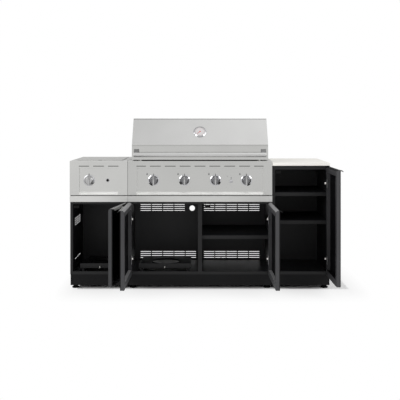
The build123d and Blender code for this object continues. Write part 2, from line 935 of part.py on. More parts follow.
# Hood
hood_bottom = worktop_height + hood_gap
hood_crease = hood_bottom + hood_band_height
hood_top = hood_crease + hood_slope_rise
hood_top_front = hood_front + hood_slope_run
hood_tail = (body_rear - hood_tail_margin, hood_top - hood_rear_drop)
hood_top_rear = hood_tail[0] - hood_rear_run
hood_half_width = half_grill - hood_side_margin
hood_pivot_y = body_rear - hood_pivot_margin
hood_pivot_z = worktop_height + hood_pivot_rise
bar_y = hood_front - bar_stand
bar_z = worktop_height + bar_rise
slope_length = sqrt(hood_slope_run**2 + hood_slope_rise**2)
gauge_y = hood_front + thermometer_share * hood_slope_run
gauge_z = hood_crease + thermometer_share * hood_slope_rise
gauge_plane = Plane(
    origin=(0, gauge_y, gauge_z),
    x_dir=(1, 0, 0),
    z_dir=(0, -hood_slope_rise / slope_length, hood_slope_run / slope_length),
)
dial_level = thermometer_depth - thermometer_dial_drop


def hood_shell():
    """Folded hood with closed ends, open below and at the tail, bored for its pins and thermometer."""
    front = [(hood_front, hood_crease), (hood_top_front, hood_top), (hood_top_rear, hood_top)]
    outline = [(hood_front, hood_bottom)] + front + [hood_tail, (hood_tail[0] - hood_tail_run, hood_bottom)]
    below = worktop_height - hood_gap
    past_tail = hood_tail[0] + hood_rear_run * (hood_tail[1] - below) / hood_rear_drop
    lowest = below - hood_gap
    lengthened = [(hood_front, lowest)] + front + [(past_tail, below), (past_tail, lowest)]
    room = offset(Polygon(*lengthened, align=None), amount=-stainless, kind=Kind.INTERSECTION)
    half = hood_half_width
    inside = half - stainless
    cavity = Pos(-inside, 0, 0) * extrude(Plane.YZ * room, amount=2 * inside, dir=(1, 0, 0))
    shell = prism_x(outline, (-half, half)) - cavity
    shell -= rod_x(hood_pivot_y, hood_pivot_z, (-half, half), hood_pin_radius + running_clearance)
    stem_hole = Pos(0, 0, -thermometer_depth) * Cylinder(
        thermometer_stem_radius + running_clearance, 2 * thermometer_depth + 2 * stainless
    )
    return shell - gauge_plane.location * stem_hole


def hood_pin(side):
    """Pivot pin from a deck ear through the hood's end."""
    inner = hood_half_width - stainless - ear_gap - ear_thickness - hood_pin_head
    outer = hood_half_width + hood_pin_head
    return rod_x(hood_pivot_y, hood_pivot_z, sorted((side * inner, side * outer)), hood_pin_radius)


def grill_deck():
    """Grill top with the firebox opening and two upright ears for the hood."""
    plate = deck(grill_top_span, (-firebox_half_inside, firebox_half_inside), firebox_inside)
    outer = hood_half_width - stainless - ear_gap
    for side in (-1, 1):
        x = sorted((side * (outer - ear_thickness), side * outer))
        y = (hood_pivot_y - ear_half_width, hood_pivot_y + ear_half_width)
        ear = block(x, y, (worktop_height, hood_pivot_z))
        ear += rod_x(hood_pivot_y, hood_pivot_z, x, ear_half_width)
        plate += ear - rod_x(hood_pivot_y, hood_pivot_z, x, hood_pin_radius + running_clearance)
    return plate


def handle_bar():
    """Tube across the front of the hood."""
    half = hood_half_width - bar_end_margin
    x = (-half, half)
    return rod_x(bar_y, bar_z, x, bar_radius) - rod_x(bar_y, bar_z, x, bar_radius - bar_wall)


def handle_bracket(side):
    """End bracket behind the bar, with a saddle that holds it off the hood."""
    outer = hood_half_width - bracket_margin
    x = sorted((side * (outer - bracket_width), side * outer))
    top = worktop_height + bracket_top_rise
    points = [
        (hood_front, top),
        (hood_front - bracket_foot_depth, top),
        (bar_y, bar_z + bar_radius - bar_wall),
        (bar_y, bar_z),
        (hood_front, worktop_height + bracket_foot_rise),
    ]
    return prism_x(points, x) - rod_x(bar_y, bar_z, x, bar_radius + running_clearance)


def hood_bumper(side):
    """Rubber bumper on the deck under the hood's front edge."""
    z = (worktop_height, hood_bottom - rest_gap)
    x = side * (hood_half_width - bumper_margin)
    return rod_z(x, hood_front + bumper_radius / 2, z, bumper_radius)


def thermometer():
    """Thermometer case with a sunk dial, a needle post and a probe through the hood."""
    case = rod_z(0, 0, (0, thermometer_depth), thermometer_radius)
    case -= rod_z(0, 0, (dial_level, thermometer_depth), thermometer_radius - thermometer_rim)
    case += rod_z(0, 0, (dial_level, thermometer_depth - needle_thickness), needle_post_radius)
    case += rod_z(0, 0, (-thermometer_stem_length, 0), thermometer_stem_radius)
    return gauge_plane.location * case


def thermometer_needle():
    """Pointer that turns on the post."""
    z = (dial_level + rest_gap, dial_level + rest_gap + needle_thickness)
    needle = rod_z(0, 0, z, needle_hub_radius)
    needle += block((0, needle_length), (-needle_width / 2, needle_width / 2), z)
    needle -= rod_z(0, 0, z, needle_post_radius + running_clearance)
    return gauge_plane.location * Rot(0, 0, needle_rest_angle) * needle


# Side burner
lid_rear = body_rear - lid_rear_margin
lid_pivot = (lid_rear - lid_pivot_inset, worktop_height - lid_pivot_drop)
well_half = lid_half_width + lid_gap
well_x = (left_middle - well_half, left_middle + well_half)
well_y = (lid_front - lid_gap, lid_rear + lid_rear_gap)
bowl_floor = deck_bottom - bowl_height + stainless
head_y = (well_y[0] + well_y[1]) / 2
support_level = worktop_height - support_drop


def lid_pin(side):
    """Pivot pin from the bowl's wall into the lid's flange."""
    x = (left_middle + side * (lid_half_width - 2 * stainless), left_middle + side * (well_half + stainless))
    return rod_x(lid_pivot[0], lid_pivot[1], sorted(x), lid_pin_radius)


def burner_bowl():
    """Open bowl under the side burner's top, bored for the lid pins and the burner's feed."""
    outer_x = (well_x[0] - stainless, well_x[1] + stainless)
    outer_y = (well_y[0] - stainless, well_y[1] + stainless)
    outer_z = (deck_bottom - bowl_height, deck_bottom)
    floor, front, rear, *sides = welded_tub(outer_x, outer_y, outer_z, stainless)
    floor -= rod_z(left_middle, head_y, (outer_z[0], bowl_floor), feed_radius + burner_hole_gap)
    pin_bore = rod_x(lid_pivot[0], lid_pivot[1], outer_x, lid_pin_radius + running_clearance)
    return [floor, front, rear] + [side - pin_bore for side in sides]


def burner_lid():
    """Flush lid pan with a finger notch at the front and bored flanges at the rear."""
    x = (left_middle - lid_half_width, left_middle + lid_half_width)
    y = (lid_front, lid_rear)
    top = worktop_height + lid_proud
    z = (top - lid_flange, top)
    lid = block(x, y, z)
    lid -= block(
        (x[0] + stainless, x[1] - stainless),
        (y[0] + stainless, y[1] - stainless),
        (z[0], top - stainless),
    )
    lid -= rod_x(lid_pivot[0], lid_pivot[1], x, lid_pin_radius + running_clearance)
    return lid - rod_z(left_middle, lid_front, z, lid_notch_radius)


def burner_head():
    """Side burner with its base, cap and the feed tube from the valve."""
    base_top = bowl_floor + head_base_height
    head_top = base_top + head_height
    head = rod_z(left_middle, head_y, (bowl_floor, base_top), head_base_radius)
    head += rod_z(left_middle, head_y, (base_top, head_top), head_radius)
    head += rod_z(left_middle, head_y, (head_top, head_top + cap_height), cap_radius)
    head += rod_z(left_middle, head_y, (knob_level, bowl_floor), feed_radius)
    head += rod_x(head_y, knob_level, sorted((side_knob_x, left_middle)), feed_radius)
    head += rod_y(side_knob_x, knob_level, (burner_start, head_y), feed_radius)
    for x in (side_knob_x, left_middle):
        head += Pos(x, head_y, knob_level) * Sphere(feed_radius)
    mouth = (burner_start, burner_start + 2 * nozzle_length)
    return head - rod_y(side_knob_x, knob_level, mouth, feed_radius - burner_wall)


def pan_support():
    """Square cast support with four fingers, on four legs in the bowl."""
    half = support_half_width
    bar = support_bar
    z = (support_level - bar, support_level)
    frame = block((-half, half), (-half, half), z)
    frame -= block((bar - half, half - bar), (bar - half, half - bar), z)
    for turn in range(4):
        finger = block((-bar / 2, bar / 2), (half - support_reach, half), z)
        leg = block((half - bar, half), (half - bar, half), (bowl_floor, support_level))
        frame += Rot(0, 0, 90 * turn) * (finger + leg)
    return Pos(left_middle, head_y, 0) * frame


def build_nodes():
    """Every node of the kitchen with its list of solids."""
    door_nodes, arms, pins = build_doors()
    left_panels = side_panels(left_span, low_top)
    panels = [vented_left_side(left_panels[0]), left_panels[1]]
    panels += side_panels(grill_span, low_top) + side_panels(storage_span, slab_bottom)
    stem_hole = stem_radius + stem_hole_gap
    socket_hole = socket_radius + running_clearance
    grill_holes = [(x, knob_level, stem_hole) for x in knob_places] + [(*main_igniter, socket_hole)]
    side_holes = [(side_knob_x, knob_level, stem_hole), (*side_igniter, socket_hole)]
    storage_shelf = (storage_span[0] + sheet, storage_span[1] - sheet)
    low_rail = low_top - low_top_rail_height
    tall_rail = slab_bottom - tall_top_rail_height
    slab_z = (slab_bottom, slab_bottom + slab_thickness)
    side_strip = hollow_channel(left_top_span, (0, panel_depth), (low_top, strip_top), stainless)
    spans = (left_span, grill_span, storage_span)
    nodes = {
        "cabinet_side_panels": [drilled_for_bolts(panel) for panel in panels],
        "cabinet_floors": [floor_panel(span) for span in spans],
        "cabinet_backs": [
            back_panel(left_span, low_top),
            grill_back(),
            back_panel(storage_span, slab_bottom),
        ],
        "grill_cabinet_divider": divider(),
        "shelves": [
            shelf((sheet / 2, grill_span[1] - sheet), grill_shelf_level),
            shelf(storage_shelf, lower_shelf_level),
            shelf(storage_shelf, slab_bottom - upper_shelf_drop),
        ],
        "face_frames": face_frame(left_span, low_top, low_top_rail_height)
        + face_frame(grill_span, low_top, low_top_rail_height)
        + face_frame(storage_span, slab_bottom, tall_top_rail_height),
        "plinths": [plate for span in spans for plate in plinth(span)],
        "levelling_feet": [foot for span in spans for foot in feet(span)],
        "module_link_bolts": [link_bolt(*place) for place in link_places()],
        "quartz_slab": [block(storage_top_span, (0, overall_depth), slab_z)],
        "door_hinge_arms": arms,
        "hinge_pins": pins + [hood_pin(-1), hood_pin(1), lid_pin(-1), lid_pin(1)],
        "door_catches": [
            catch_under(left_span[0] + stile_width + catch_edge, low_rail),
            post_catch(),
            catch_under(divider_width / 2 + catch_divider_gap, low_rail),
            catch_under(storage_span[0] + stile_width + catch_edge, tall_rail),
        ],
        "left_cylinder_tray": cylinder_tray(left_middle, side_tray_width),
        "grill_cylinder_tray": cylinder_tray(grill_tray_middle, grill_tray_width),
        "tray_runners": tray_runners(left_middle, side_tray_width)
        + tray_runners(grill_tray_middle, grill_tray_width),
        "side_burner_control_panel": [
            control_panel(left_top_span, side_recess_width, side_vent_slots, side_holes)
        ],
        "side_burner_body": [casing(left_top_span) + side_strip],
        "side_burner_deck": [deck(left_top_span, well_x, well_y)],
        "side_burner_bowl": burner_bowl(),
        "side_burner_lid": [burner_lid()],
        "side_burner_head": [burner_head()],
        "side_burner_pan_support": [pan_support()],
        "grill_control_panel": [
            control_panel(grill_top_span, grill_recess_width, grill_vent_slots, grill_holes)
        ],
        "grill_body": [casing(grill_top_span)],
        "grill_top_deck": [grill_deck()],
        "grease_tray": [grease_tray()],
        "firebox": [firebox()],
        "cooking_grates": cooking_grates(),
        "flame_tamers": [flame_tamer(x) for x in knob_places],
        "burner_tubes": [burner_tube(x) for x in knob_places],
        "gas_manifold": [manifold(left_top_span), manifold(grill_top_span), valve(side_knob_x)]
        + [valve(x) for x in knob_places],
        "hood_shell": [hood_shell()],
        "hood_handle_bar": [handle_bar()],
        "hood_handle_brackets": [handle_bracket(-1), handle_bracket(1)],
        "hood_bumpers": [hood_bumper(-1), hood_bumper(1)],
        "thermometer": [thermometer()],
        "thermometer_needle": [thermometer_needle()],
        "control_bezels": [bezel(x) for x in [side_knob_x] + knob_places]
        + [igniter_socket(side_igniter), igniter_socket(main_igniter)],
        "side_igniter_button": [igniter_button(side_igniter)],
        "main_igniter_button": [igniter_button(main_igniter)],
        "side_knob": [knob(side_knob_x)],
        "side_valve_stem": [stem(side_knob_x)],
    }
    for i, x in enumerate(knob_places, 1):
        nodes[f"knob_{i}"] = [knob(x)]
        nodes[f"valve_stem_{i}"] = [stem(x)]
    return nodes | door_nodes


# The origin is the middle of the whole kitchen, doors open, on the floor.
nodes = {}
for name, pieces in build_nodes().items():
    nodes[name] = [solid for piece in pieces for solid in piece.solids()]
whole = Compound([solid for solids in nodes.values() for solid in solids]).bounding_box()
to_origin = Pos(-(whole.min.X + whole.max.X) / 2, -(whole.min.Y + whole.max.Y) / 2, 0)

os.makedirs("parts", exist_ok=True)
for name, solids in nodes.items():
    export_step(to_origin * Compound(solids), f"parts/{name}.step")
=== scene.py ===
"""Modular outdoor kitchen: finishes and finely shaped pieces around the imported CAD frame.

Three cabinets stand in a row: a side burner, a hooded gas grill and a storage cabinet with a stone top.
Shapes are worked out in millimetres in the kitchen's own frame, where X = 0 is the middle of the grill,
Y = 0 the front of the stainless aprons and Z = 0 the floor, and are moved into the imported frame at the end.
"""
import json
import logging
import math
from dataclasses import dataclass
from enum import Enum
from typing import Any, Sequence

import bmesh
import bpy
import numpy as np
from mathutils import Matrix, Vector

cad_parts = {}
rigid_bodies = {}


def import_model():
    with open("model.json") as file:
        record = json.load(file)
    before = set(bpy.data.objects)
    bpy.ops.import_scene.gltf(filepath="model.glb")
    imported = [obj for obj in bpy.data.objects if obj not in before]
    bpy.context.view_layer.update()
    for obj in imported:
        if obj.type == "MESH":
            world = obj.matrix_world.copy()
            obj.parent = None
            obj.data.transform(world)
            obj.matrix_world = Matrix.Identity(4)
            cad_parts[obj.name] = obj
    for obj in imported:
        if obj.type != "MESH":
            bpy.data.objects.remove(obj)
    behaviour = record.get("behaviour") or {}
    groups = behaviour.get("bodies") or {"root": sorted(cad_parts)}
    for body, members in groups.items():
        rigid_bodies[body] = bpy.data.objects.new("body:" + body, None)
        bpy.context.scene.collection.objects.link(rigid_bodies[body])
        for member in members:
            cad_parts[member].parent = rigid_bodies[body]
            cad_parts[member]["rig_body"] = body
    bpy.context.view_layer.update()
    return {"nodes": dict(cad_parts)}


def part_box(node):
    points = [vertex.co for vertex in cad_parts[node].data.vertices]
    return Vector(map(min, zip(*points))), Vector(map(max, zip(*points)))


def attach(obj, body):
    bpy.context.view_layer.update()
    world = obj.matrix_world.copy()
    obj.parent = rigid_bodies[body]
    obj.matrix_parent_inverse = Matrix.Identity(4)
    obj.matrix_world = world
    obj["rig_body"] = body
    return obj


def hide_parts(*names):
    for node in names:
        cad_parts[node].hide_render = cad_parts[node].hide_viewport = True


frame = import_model()
log = logging.getLogger("outdoor_kitchen")

Points = np.ndarray
Node, Tree, Object = bpy.types.Node, bpy.types.NodeTree, bpy.types.Object
Link = tuple[Node, Any]
Place = tuple[float, float, float]
Pair = tuple[float, float]
Box = tuple[Place, Place]

# Left end, right end and top of each cabinet's rear panel, and the panels' lower edge and rear face
CABINETS: tuple[Place, ...] = ((-916.0, -510.0, 612.0), (-508.0, 508.0, 612.0), (510.0, 916.0, 866.0))
REAR_FOOT = 98.5
REAR_Y = 605.0
# Degrees above which an edge of a piece stays sharp, an edge of a CAD node is eased, and faces aren't joined
CREASE, EASED, FLAT = 34.0, 30.0, 0.5
# Distances in metres within which points are joined, in a piece and in a copy of a CAD node
SEAM, CAD_SEAM = 4e-6, 1e-5
# Share of a side that a rounded corner may take up, and of a block's least measure that its radius may
ARC_SHARE, RADIUS_SHARE = 0.45, 0.49
# Cosine above which a face looks one way, and distance in metres within which it lies at an end
FACING, AT_END = 0.95, 1e-4


class Side(Enum):
    """Left or right half of a mirrored pair, as its sign along X."""

    LEFT = -1
    RIGHT = 1


@dataclass(frozen=True)
class Basis:
    """Three directions that a turned or flat shape is laid out in: across, up and along its axis."""

    across: Place
    up: Place
    along: Place

    def lay(self, place: Place, a: Points, b: Points, c: Points) -> Points:
        """Points at place + a across + b up + c along."""
        parts = (np.multiply.outer(v, np.array(d, float)) for v, d in ((a, self.across), (b, self.up), (c, self.along)))
        return np.array(place, float) + sum(parts)


FRONT = Basis((1, 0, 0), (0, 0, 1), (0, -1, 0))
REAR = Basis((-1, 0, 0), (0, 0, 1), (0, 1, 0))
RIGHT = Basis((0, 1, 0), (0, 0, 1), (1, 0, 0))
UP = Basis((1, 0, 0), (0, 1, 0), (0, 0, 1))


def kitchen_origin() -> Points:
    """Where the kitchen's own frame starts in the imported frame, in metres.

    Returns:
        The point under the middle of the grill apron's front face, on the floor.
    """
    low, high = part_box("grill_control_panel")
    return np.array([(low[0] + high[0]) / 2, low[1], 0.0])


ORIGIN = kitchen_origin()


# Numpy surfaces


@dataclass
class Patch:
    """A grid of points in rows and columns; wrap joins the last column to the first."""

    points: Points
    wrap: bool = False

    def quads(self) -> Points:
        """Corner numbers of every cell of the grid, row by row."""
        rows, columns = self.points.shape[:2]
        r, c = np.meshgrid(np.arange(rows - 1), np.arange(columns if self.wrap else columns - 1), indexing="ij")
        n = (c + 1) % columns
        cells = (r * columns + c, r * columns + n, (r + 1) * columns + n, (r + 1) * columns + c)
        return np.stack(cells, -1).reshape(-1, 4)


def eased_line(corners: Sequence[Pair], radius: float, steps: int = 4) -> Points:
    """An open line of corners with its inner corners rounded.

    Each inner corner becomes an arc that touches both of its sides: the arc's centre lies on the corner's
    bisector at radius / sin(half the angle), and its points turn evenly from one side to the other.

    Args:
        corners: the line's corners.
        radius: wished radius, cut down where a side is short.
        steps: points on each arc.

    Returns:
        The rounded line as rows of two numbers.
    """
    p = np.array(corners, float)
    to_last = p[:-2] - p[1:-1]
    to_next = p[2:] - p[1:-1]
    last, following = np.linalg.norm(to_last, axis=1), np.linalg.norm(to_next, axis=1)
    a, b = to_last / last[:, None], to_next / following[:, None]
    half = np.arccos(np.clip((a * b).sum(1), -1, 1)) / 2
    touch = np.minimum(radius / np.tan(half), ARC_SHARE * np.minimum(last, following))
    reach = touch * np.tan(half)
    bisector = a + b
    bisector /= np.maximum(np.linalg.norm(bisector, axis=1), 1e-9)[:, None]
    centre = p[1:-1] + bisector * (reach / np.sin(half))[:, None]
    start = p[1:-1] + a * touch[:, None] - centre
    end = p[1:-1] + b * touch[:, None] - centre
    first = np.arctan2(start[:, 1], start[:, 0])
    turn = np.arctan2(end[:, 1], end[:, 0]) - first
    turn = (turn + np.pi) % (2 * np.pi) - np.pi
    angle = first[:, None] + turn[:, None] * np.linspace(0, 1, steps)
    arcs = centre[:, None] + reach[:, None, None] * np.stack([np.cos(angle), np.sin(angle)], -1)
    return np.concatenate([p[:1], arcs.reshape(-1, 2), p[-1:]])


def eased_ring(corners: Sequence[Pair], radius: float, inset: float = 0.0, steps: int = 4) -> Points:
    """A closed outline with every side moved inwards and every corner rounded.

    Each side's line is moved by inset along its inner normal, neighbouring lines are crossed for the new
    corners, and the corners are rounded as in eased_line with the radius that is left.

    Args:
        corners: corners in turning order, anticlockwise.
        radius: corner radius of the outline that isn't moved.
        inset: how far each side moves inwards.
        steps: points on each arc.

    Returns:
        The ring's points, without a repeat of the first.
    """
    p = np.array(corners, float)
    run = np.roll(p, -1, 0) - p
    normal = np.stack([-run[:, 1], run[:, 0]], -1) / np.linalg.norm(run, axis=1)[:, None]
    level = (normal * p).sum(1) + inset
    sides = np.stack([np.roll(normal, 1, 0), normal], 1)
    moved = np.linalg.solve(sides, np.stack([np.roll(level, 1), level], -1)[..., None])[..., 0]
    wrapped = np.concatenate([moved[-1:], moved, moved[:1]])
    return eased_line(wrapped, max(radius - inset, 0.05), steps)[1:-1]


def turned(profile: Points, place: Place, basis: Basis, segments: int = 48) -> Patch:
    """A profile of (radius, height) rows turned once about the basis' axis.

    Point = place + radius * (cos a * across + sin a * up) + height * along, for a from 0 to a full turn.

    Args:
        profile: rows of radius and height.
        place: where height 0 lies on the axis.
        basis: the directions of the turned shape.
        segments: points round the turn.

    Returns:
        The turned grid, closed round the axis.
    """
    angle = np.linspace(0, 2 * np.pi, segments, endpoint=False)
    radius, height = profile[:, :1], np.repeat(profile[:, 1:], segments, 1)
    return Patch(basis.lay(place, radius * np.cos(angle), radius * np.sin(angle), height), wrap=True)


def rounded_block(low: Place, high: Place, radius: float, steps: int = 3) -> list[Patch]:
    """A box whose edges and corners are rounded.

    On each face two parameters run from edge to edge. A point q of the plain face moves to
    c + radius * (q - c) / |q - c|, where c is the nearest point of the box shrunk by the radius, and the
    parameters are spaced by the tangent of even angles, so the rounding is even too.

    Args:
        low: lowest corner.
        high: highest corner.
        radius: edge radius.
        steps: cells across half a rounded edge.

    Returns:
        Six patches, one a face.
    """
    low, high = np.array(low, float), np.array(high, float)
    radius = min(radius, RADIUS_SHARE * float((high - low).min()))
    lip = radius * np.tan(np.linspace(0, np.pi / 4, steps + 1))
    patches = []
    for axis in range(3):
        one, two = (axis + 1) % 3, (axis + 2) % 3
        lines = [np.concatenate([(low[k] + radius - lip)[::-1], high[k] - radius + lip]) for k in (one, two)]
        u, v = np.meshgrid(*lines, indexing="ij")
        for end in (low, high):
            q = np.zeros(u.shape + (3,))
            q[..., axis], q[..., one], q[..., two] = end[axis], u, v
            core = np.clip(q, low + radius, high - radius)
            reach = q - core
            patches.append(Patch(core + radius * reach / np.linalg.norm(reach, axis=-1, keepdims=True)))
    return patches


def end_steps(edge: float) -> tuple[Points, Points]:
    """Over a rounded end edge: insets edge * (1 - sin a) and steps edge * (1 - cos a), a up to a right angle."""
    angle = np.linspace(0, np.pi / 2, 4)
    return edge * (1 - np.sin(angle)), edge * (1 - np.cos(angle))


def carried(rings: Points, step: Points, x: Pair) -> Points:
    """Side views of (Y, Z) points set along X: rings inwards from the low end, and the same at the high end."""
    stations = np.concatenate([x[0] + step, x[1] - step[::-1]])
    outline = np.concatenate([rings, rings[::-1]])
    return np.concatenate([np.broadcast_to(stations[:, None, None], outline.shape[:2] + (1,)), outline], -1)


def flat_fan(ring: Points) -> Patch:
    """A flat piece between a ring of points and its middle."""
    return Patch(np.stack([np.broadcast_to(ring.mean(0), ring.shape), ring]), wrap=True)


def eased_prism(corners: Sequence[Pair], x: Pair, radius: float, edge: float) -> list[Patch]:
    """A side view of (Y, Z) corners carried along X, with rounded corners and rounded end edges.

    Near an end the outline is inset as end_steps says, and each end is closed by a fan to its middle.

    Args:
        corners: side view, anticlockwise in (Y, Z).
        x: low and high end.
        radius: corner radius of the side view.
        edge: radius of the end edges.

    Returns:
        The carried grid and two end fans.
    """
    insets, step = end_steps(edge)
    grid = carried(np.stack([eased_ring(corners, radius, i) for i in insets]), step, x)
    return [Patch(grid, wrap=True), flat_fan(grid[0]), flat_fan(grid[-1])]


# Finishes


def linear(code: str) -> tuple[float, float, float, float]:
    """A colour written as sRGB hex, as linear numbers.

    Args:
        code: six hex digits.

    Returns:
        Red, green, blue and a full alpha.
    """
    values = [int(code[i : i + 2], 16) / 255 for i in (0, 2, 4)]
    return (*[v / 12.92 if v <= 0.04045 else ((v + 0.055) / 1.055) ** 2.4 for v in values], 1.0)


def add(tree: Tree, kind: str, inputs: dict[Any, Any] | None = None, **settings: Any) -> Node:
    """Adds a node with its settings, its values and its links.

    Args:
        tree: where the node goes.
        kind: node type after "ShaderNode".
        inputs: value of a socket, or (node, output) to link it to, by name or number.
        settings: the node's own properties.

    Returns:
        The new node.
    """
    node = tree.nodes.new("ShaderNode" + kind)
    for key, value in settings.items():
        setattr(node, key, value)
    for socket, value in (inputs or {}).items():
        if isinstance(value, tuple) and isinstance(value[0], Node):
            tree.links.new(value[0].outputs[value[1]], node.inputs[socket])
        else:
            node.inputs[socket].default_value = value
    return node


def per_metre(size_mm: float) -> float:
    """Pattern scale for features of a size in millimetres, on Object coordinates in metres."""
    return 1000.0 / size_mm


@dataclass(frozen=True)
class Finish:
    """A finish whose patterns, on Object coordinates, drive its tone, its gloss and a shallow bump."""

    title: str
    # Colours where the pattern is low and where it is high
    ground: str = "101010"
    fleck: str = "181818"
    roughness: float = 0.5
    spread: float = 0.05
    # Part of the pattern's range that the gloss answers to
    span: Pair = (0.3, 0.7)
    relief: float = 0.0
    depth_mm: float = 0.2
    metallic: bool = False
    ior: float = 1.5
    sheen: float = 0.4

    def patterns(self, tree: Tree, place: Link) -> tuple[Node, Node]:
        """Adds the patterns and returns the one for the tone and the one for gloss and bump."""
        raise NotImplementedError

    def gloss(self) -> Pair:
        """Lowest and highest roughness."""
        return self.roughness - self.spread, self.roughness + self.spread

    def material(self) -> bpy.types.Material:
        """The finish's material, made on first use."""
        known = bpy.data.materials.get(self.title)
        if known:
            return known
        made = bpy.data.materials.new(self.title)
        made.use_nodes = True
        tree = made.node_tree
        tree.nodes.clear()
        toned, glossed = self.patterns(tree, (add(tree, "TexCoord"), "Object"))
        tone = add(tree, "Mix", {0: (toned, 0), 6: linear(self.ground), 7: linear(self.fleck)}, data_type="RGBA")
        ends = zip(("From Min", "From Max", "To Min", "To Max"), (*self.span, *self.gloss()))
        rough = add(tree, "MapRange", {"Value": (glossed, 0), **dict(ends)})
        sockets = {"Base Color": (tone, 2), "Roughness": (rough, 0)}
        sockets |= {"Metallic": 1.0} if self.metallic else {"IOR": self.ior, "Specular IOR Level": self.sheen}
        if self.relief:
            bump = {"Strength": self.relief, "Distance": self.depth_mm / 1000, "Height": (glossed, 0)}
            sockets["Normal"] = (add(tree, "Bump", bump), 0)
        add(tree, "OutputMaterial", {"Surface": (add(tree, "BsdfPrincipled", sockets), 0)})
        return made


@dataclass(frozen=True)
class BrushedSteel(Finish):
    """Rolled stainless sheet brushed along X: soft streaked reflections, no mirror image."""

    roughness: float = 0.12
    relief: float = 0.06
    metallic: bool = True

    def gloss(self) -> Pair:
        """A fifth below and above the roughness."""
        return 0.8 * self.roughness, 1.2 * self.roughness

    def patterns(self, tree: Tree, place: Link) -> tuple[Node, Node]:
        """Long streaks, and a slow mottle that shifts their tone a little."""
        # Brush lines are about 0.15 mm wide and are drawn at 1.1 mm so that they show in a render.
        fine, long = per_metre(1.1), per_metre(90)
        lined = add(tree, "Mapping", {"Vector": place, "Scale": (long, fine, fine)})
        streak = add(tree, "TexNoise", {"Vector": (lined, 0), "Scale": 1.0, "Detail": 3.0, "Roughness": 0.65})
        mottle = add(tree, "TexNoise", {"Vector": place, "Scale": per_metre(220), "Detail": 1.0})
        return add(tree, "Math", {0: (streak, 0), 1: (mottle, 0), 2: 0.25}, operation="MULTIPLY_ADD"), streak


@dataclass(frozen=True)
class PowderCoat(Finish):
    """Sprayed and baked polyester powder: near black with a faint orange peel and a satin sheen."""

    ground: str = "121213"
    fleck: str = "1A1A1B"
    roughness: float = 0.46
    relief: float = 0.12
    depth_mm: float = 0.3
    sheen: float = 0.28

    def patterns(self, tree: Tree, place: Link) -> tuple[Node, Node]:
        """Wide clouds for the tone, and a fine peel."""
        # The peel's cells are about 0.6 mm and are drawn at 2 mm so that they show.
        peel = add(tree, "TexNoise", {"Vector": place, "Scale": per_metre(2), "Detail": 2.0})
        return add(tree, "TexNoise", {"Vector": place, "Scale": per_metre(140), "Detail": 2.0}), peel


@dataclass(frozen=True)
class PaintedGlass(Finish):
    """Float glass painted black on its rear face: deep black with sharp reflections and faint wiping marks."""

    ground: str = "08080A"
    fleck: str = "0D0D0F"
    roughness: float = 0.085
    spread: float = 0.035
    span: Pair = (0.35, 0.7)
    ior: float = 1.52
    sheen: float = 0.25

    def patterns(self, tree: Tree, place: Link) -> tuple[Node, Node]:
        """Wide wiping marks, longer upwards."""
        wiped = add(tree, "Mapping", {"Vector": place, "Scale": (1.0, 1.0, 0.35)})
        marks = add(tree, "TexNoise", {"Vector": (wiped, 0), "Scale": per_metre(70), "Detail": 3.0})
        return marks, marks


@dataclass(frozen=True)
class Grained(Finish):
    """An even surface with one fine grain."""

    grit_mm: float = 1.2
    detail: float = 3.0

    def patterns(self, tree: Tree, place: Link) -> tuple[Node, Node]:
        """The grain, for the tone and the gloss alike."""
        grit = add(tree, "TexNoise", {"Vector": place, "Scale": per_metre(self.grit_mm), "Detail": self.detail})
        return grit, grit


@dataclass(frozen=True)
class SmoothMetal(Grained):
    """A plated, cast or turned metal that mirrors its surroundings softly."""

    roughness: float = 0.3
    spread: float = 0.04
    relief: float = 0.05
    metallic: bool = True
    grit_mm: float = 1.5
    detail: float = 2.0


@dataclass(frozen=True)
class Moulded(Grained):
    """A moulded, printed or enamelled surface that isn't metal."""

    spread: float = 0.06
    relief: float = 0.1
    depth_mm: float = 0.4


@dataclass(frozen=True)
class QuartzComposite(Finish):
    """Crushed quartz in resin: warm white with small grey and clear grains and little gloss."""

    ground: str = "DFDDD7"
    fleck: str = "CDCAC1"
    roughness: float = 0.46
    spread: float = 0.04
    span: Pair = (0.0, 1.0)
    ior: float = 1.54
    sheen: float = 0.12

    def patterns(self, tree: Tree, place: Link) -> tuple[Node, Node]:
        """Cells pick out scattered darker grains over a slow cloud of the ground tone."""
        # The grains are 0.5 to 2 mm and are drawn at 3 mm so that they show.
        cells = add(tree, "TexVoronoi", {"Vector": place, "Scale": per_metre(3)})
        chosen = add(tree, "MapRange", {"Value": (cells, "Color"), "From Min": 0.62, "From Max": 0.9})
        cloud = add(tree, "TexNoise", {"Vector": place, "Scale": per_metre(60), "Detail": 3.0})
        amount = add(tree, "Math", {0: (chosen, 0), 1: (cloud, 0)}, operation="MULTIPLY")
        return amount, amount


# Title, the two tones and the roughness of each finish, and what else it needs
STEEL = BrushedSteel("brushed stainless steel 304", "B2B2B0", "C4C4C2")
SIDE_STEEL = BrushedSteel("brushed stainless steel 304, side burner", "BCBCBA", "CECECC")
HOOD_STEEL = BrushedSteel("brushed stainless steel 304, hood", "B4B4B3", "C8C8C7", 0.38)
BAND_STEEL = BrushedSteel("fine brushed stainless steel, hood front", "B4B4B2", "C4C4C2", 0.08, relief=0.02)
# Darker copy of the brushed steel for the tops and the side burner's lid: painted shade
DECK_STEEL = BrushedSteel("brushed stainless steel 304, tops", "A2A2A0", "AEAEAC", 0.5)
# Far lighter copy of the panel steel for the ledges and recess sides: painted light
LEDGE_STEEL = BrushedSteel("brushed stainless steel 304, ledge", "ECECEA", "F4F4F2", 0.55)
# Lighter copies of the brushed steel for the casings: painted light
STRIP_STEEL = BrushedSteel("brushed stainless steel 304, casings", "BCBCBA", "CECECC", 0.55)
SIDE_STRIP_STEEL = BrushedSteel("brushed stainless steel 304, side casing", "C2C2C0", "D4D4D2", 0.5)
# Dark steel for the strips behind the slots and the lines under the hood's creases: painted shade
BAFFLE_STEEL = BrushedSteel("pickled stainless steel", "626260", "6E6E6C", 0.42)
DULL_STEEL = BrushedSteel("mill finish stainless steel", "9C9C9A", "AEAEAC", 0.42)
